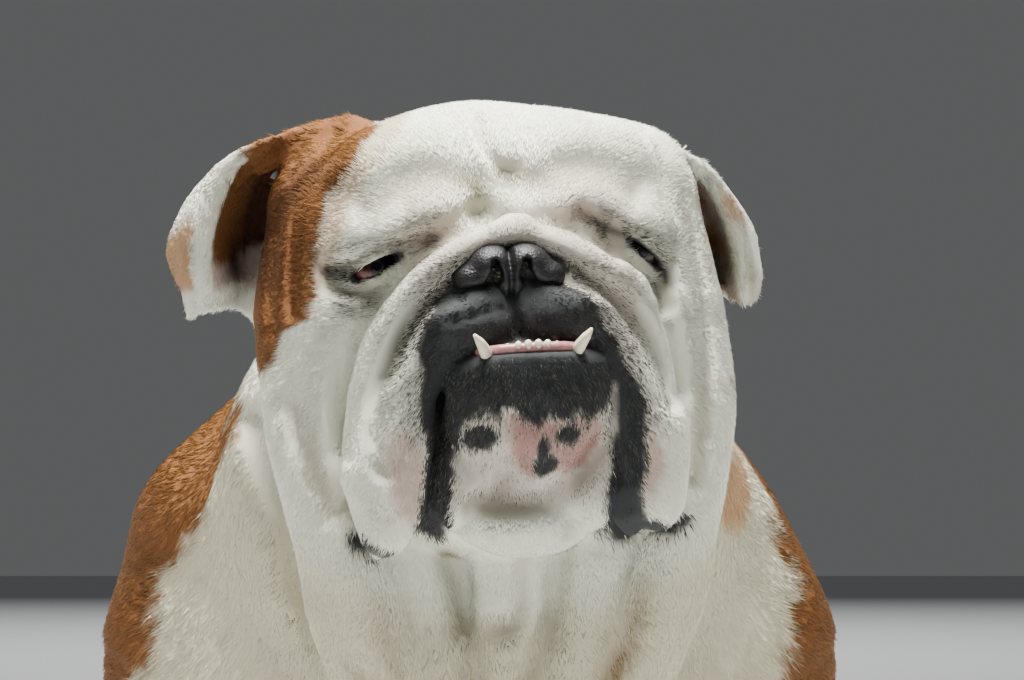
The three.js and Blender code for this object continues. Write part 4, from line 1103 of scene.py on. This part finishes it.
# Eyes: wet dark-brown balls behind the lids, the right one half shown with the pink haw in its outer corner.
# Each is one ball with a low cornea, and its pupil, its iris and the dark rest of it are worked out from the
# distance to where it looks.
GAZE = np.array([0.16, -1.0, -0.02])
RINGS, SEGMENTS = 32, 48
AROUND_IRIS = [0.03, 0.018, 0.014]
IRIS_BROWN = [0.035, 0.012, 0.006]
PUPIL_BLACK = [0.003, 0.003, 0.003]
HAW_PINK = [0.22, 0.075, 0.07]
eye_faces = []
first_of_last_ring = 1 + (RINGS - 2) * SEGMENTS
for i in range(SEGMENTS):
    j = (i + 1) % SEGMENTS
    eye_faces.append([0, 1 + j, 1 + i])
    eye_faces.append([first_of_last_ring + SEGMENTS, first_of_last_ring + i, first_of_last_ring + j])
    for k in range(RINGS - 2):
        a = 1 + k * SEGMENTS
        eye_faces.append([a + i, a + j, a + j + SEGMENTS, a + i + SEGMENTS])
for word, centre in zip(("right", "left"), EYES):
    ball = [[0, -1, 0]]
    for a in np.linspace(0, math.pi, RINGS + 1)[1:-1]:
        bulge = 1 + 0.06 * math.exp(-((a / 0.5) ** 2))
        wide, deep = bulge * math.sin(a), bulge * math.cos(a)
        turns = np.arange(SEGMENTS) * 2 * math.pi / SEGMENTS
        ball += [[wide * math.cos(t), -deep, wide * math.sin(t)] for t in turns]
    ball.append([0, 1, 0])
    ball = np.array(ball) * (EYE_R - 0.3)
    mesh = bpy.data.meshes.new(f"eyeball_{word}")
    mesh.from_pydata([tuple(v) for v in placed(from_head(ball + centre))], [], eye_faces)
    mesh.polygons.foreach_set("use_smooth", np.ones(len(mesh.polygons), bool))
    mesh.update()
    eye = new_object(f"eyeball_{word}", mesh)
    from_pupil = np.linalg.norm(ball / EYE_R - GAZE / np.linalg.norm(GAZE), axis=1)
    iris = mixed(all_of(AROUND_IRIS, len(ball)), IRIS_BROWN, smooth_step(0.74, 0.64, from_pupil))
    iris = mixed(iris, PUPIL_BLACK, smooth_step(0.44, 0.36, from_pupil))
    across, up = ball[:, 0], ball[:, 2]
    if word == "right":
        haw = smooth_step(0.8, -0.4, up + 4.4 + 0.4 * across) * (across < -2.5)
        iris = mixed(iris, HAW_PINK, haw)
    put_colour(mesh, "iris", iris)
    wet_eye, tree, shader = new_material(f"eye_{word}")
    fibres = new_node(tree, "TexNoise", {"Vector": object_place(tree), "Scale": 1500})
    set_inputs(tree, shader, {
        "Base Color": multiplied(tree, 0.5, stored(tree, "iris")["Color"], fibres.outputs["Color"]),
        "Roughness": 0.12,
        "Specular IOR Level": 0.3,
    })
    mesh.materials.append(wet_eye)
    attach(eye, "root")
    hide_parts(f"eye_{word}")


# Teeth and gum: a thin wet pink gum between the lips, with six small incisors and two tusk-like canines that
# lean outwards over the upper lip. The teeth are clouded cream enamel, set in the gum.
GUM = [[22, -39, -39, 2.4], [14, -45.5, -38.2, 2.4], [0, -48, -37.8, 2.4]]


def gum_form(p):
    return bar(mirrored(to_head(p), JAW_ASIDE), GUM)


gum_points, gum_quads = netted(gum_form, *around([JAW_ASIDE, -44, -38], [32, 14, 10], 0.9))
gum = made_mesh("gum", gum_points, gum_quads)
_, shader, _, _ = clouded(gum, "moist_pink", 500, 6, (0.22, 0.07, 0.07), (0.48, 0.24, 0.23))
shader.inputs["Roughness"].default_value = 0.22
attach(gum, "root")
CANINES = [[18.5, -41.5, -42, 2.7], [20.5, -45.5, -38.5, 2.8], [23, -49, -34.6, 2.1],
           [25.4, -50.5, -31.4, 0.9]]


def teeth_form(p):
    q = mirrored(to_head(p), JAW_ASIDE)
    d = bar(q, CANINES, 6, 10)
    for x in (2.2, 6.4, 10.8):
        d = np.minimum(d, egg(q, [x, -49.6 + 0.03 * x * x, -36.4 - 0.01 * x * x], [1.7, 1.4, 2.2]))
    return d


teeth_points, teeth_quads = netted(teeth_form, *around([JAW_ASIDE, -45, -37], [34, 14, 14], 0.8))
teeth = made_mesh("teeth", teeth_points, teeth_quads)
_, shader, _, _ = clouded(teeth, "enamel", 260, 4, (0.60, 0.50, 0.32), (0.82, 0.77, 0.62))
shader.inputs["Roughness"].default_value = 0.25
shader.inputs["Subsurface Weight"].default_value = 0.15
shader.inputs["Subsurface Scale"].default_value = 0.002
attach(teeth, "root")

# Claws: four blunt claws of dark horn on each paw, grown from the tips of the toes and curving down to just
# above the floor. The claws of all four paws are one mesh.


def claws_form(p):
    q = mirrored(p)
    d = np.full(len(p), FAR)
    for paw in (FORE_PAW, HIND_PAW):
        for i in TOES:
            x, y = toe_at(i, *paw)
            x, y = x + i, y - paw[3] * 0.25
            claw = [[x, y + 6, 14, 3.4], [x, y - 1, 12, 3.0], [x, y - 6, 6, 1.9]]
            d = np.minimum(d, bar(q, claw, 5, 6))
    return d


claw_points, claw_quads = [], []
for side in (-1, 1):
    for px, py in ((FORE_X + 2, FORE_Y - 52), (HIND_X, HIND_Y - 32)):
        points, quads = netted(
            claws_form,
            spaced(side * px - 44, 1.3, side * px + 44),
            spaced(py - 22, 1.3, py + 30),
            spaced(1, 1.3, 24),
        )
        claw_quads.append(quads + sum(len(c) for c in claw_points))
        claw_points.append(points)
claws = made_mesh("claws", np.concatenate(claw_points), np.concatenate(claw_quads))
_, shader, _, _ = clouded(claws, "horn", 320, 5, (0.05, 0.035, 0.028), (0.30, 0.22, 0.16))
shader.inputs["Roughness"].default_value = 0.35
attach(claws, "root")

# Floor, light and camera: a pale floor, a soft narrow key light above and before the dog, a weak fill, a rim
# light from behind it and a wide light over the floor, and a long lens that looks level at its face.
floor_mesh = bpy.data.meshes.new("floor")
floor_mesh.from_pydata([(-6, -3, 0), (6, -3, 0), (6, 6, 0), (-6, 6, 0)], [], [(0, 1, 2, 3)])
floor = new_object("floor", floor_mesh)
pale, _, shader = new_material("pale_floor")
shader.inputs["Base Color"].default_value = (0.58, 0.585, 0.59, 1)
shader.inputs["Roughness"].default_value = 0.9
floor_mesh.materials.append(pale)

world = bpy.data.worlds.new("studio")
bpy.context.scene.world = world
world.use_nodes = True
world.node_tree.nodes["Background"].inputs["Color"].default_value = (0.90, 0.93, 0.94, 1)
world.node_tree.nodes["Background"].inputs["Strength"].default_value = 0.12
LIT_POINT = Vector((0, -0.15, 0.35))
for name, place_m, power, size, spread in (
    ("key", (-0.1, -0.38, 2.3), 54, 1.2, 70),
    ("fill", (1.7, -1.6, 1.0), 2, 1.4, 180),
    ("rim", (0.4, 1.8, 1.9), 20, 1.2, 180),
    ("floor light", (0, 4.4, 2.2), 110, 2.0, 180),
):
    light = bpy.data.lights.new(name, "AREA")
    light.energy = power
    light.size = size
    light.spread = math.radians(spread)
    lamp = new_object(name, light)
    lamp.location = place_m
    lamp.rotation_euler = (LIT_POINT - lamp.location).to_track_quat("-Z", "Y").to_euler()

SENSOR_MM = 36
CAMERA_AWAY_M = 2.4
PICTURE_WIDTH = 1024
M_PER_PIXEL = 0.44e-3
lens = bpy.data.cameras.new("camera")
lens.sensor_width = SENSOR_MM
lens.lens = SENSOR_MM * CAMERA_AWAY_M / (M_PER_PIXEL * PICTURE_WIDTH)
camera = new_object("camera", lens)
camera.location = placed(np.array([20.0, HEAD_AT[1] - 1000 * CAMERA_AWAY_M, 374.0]))
camera.rotation_euler = (math.pi / 2, 0, 0)
bpy.context.scene.camera = camera
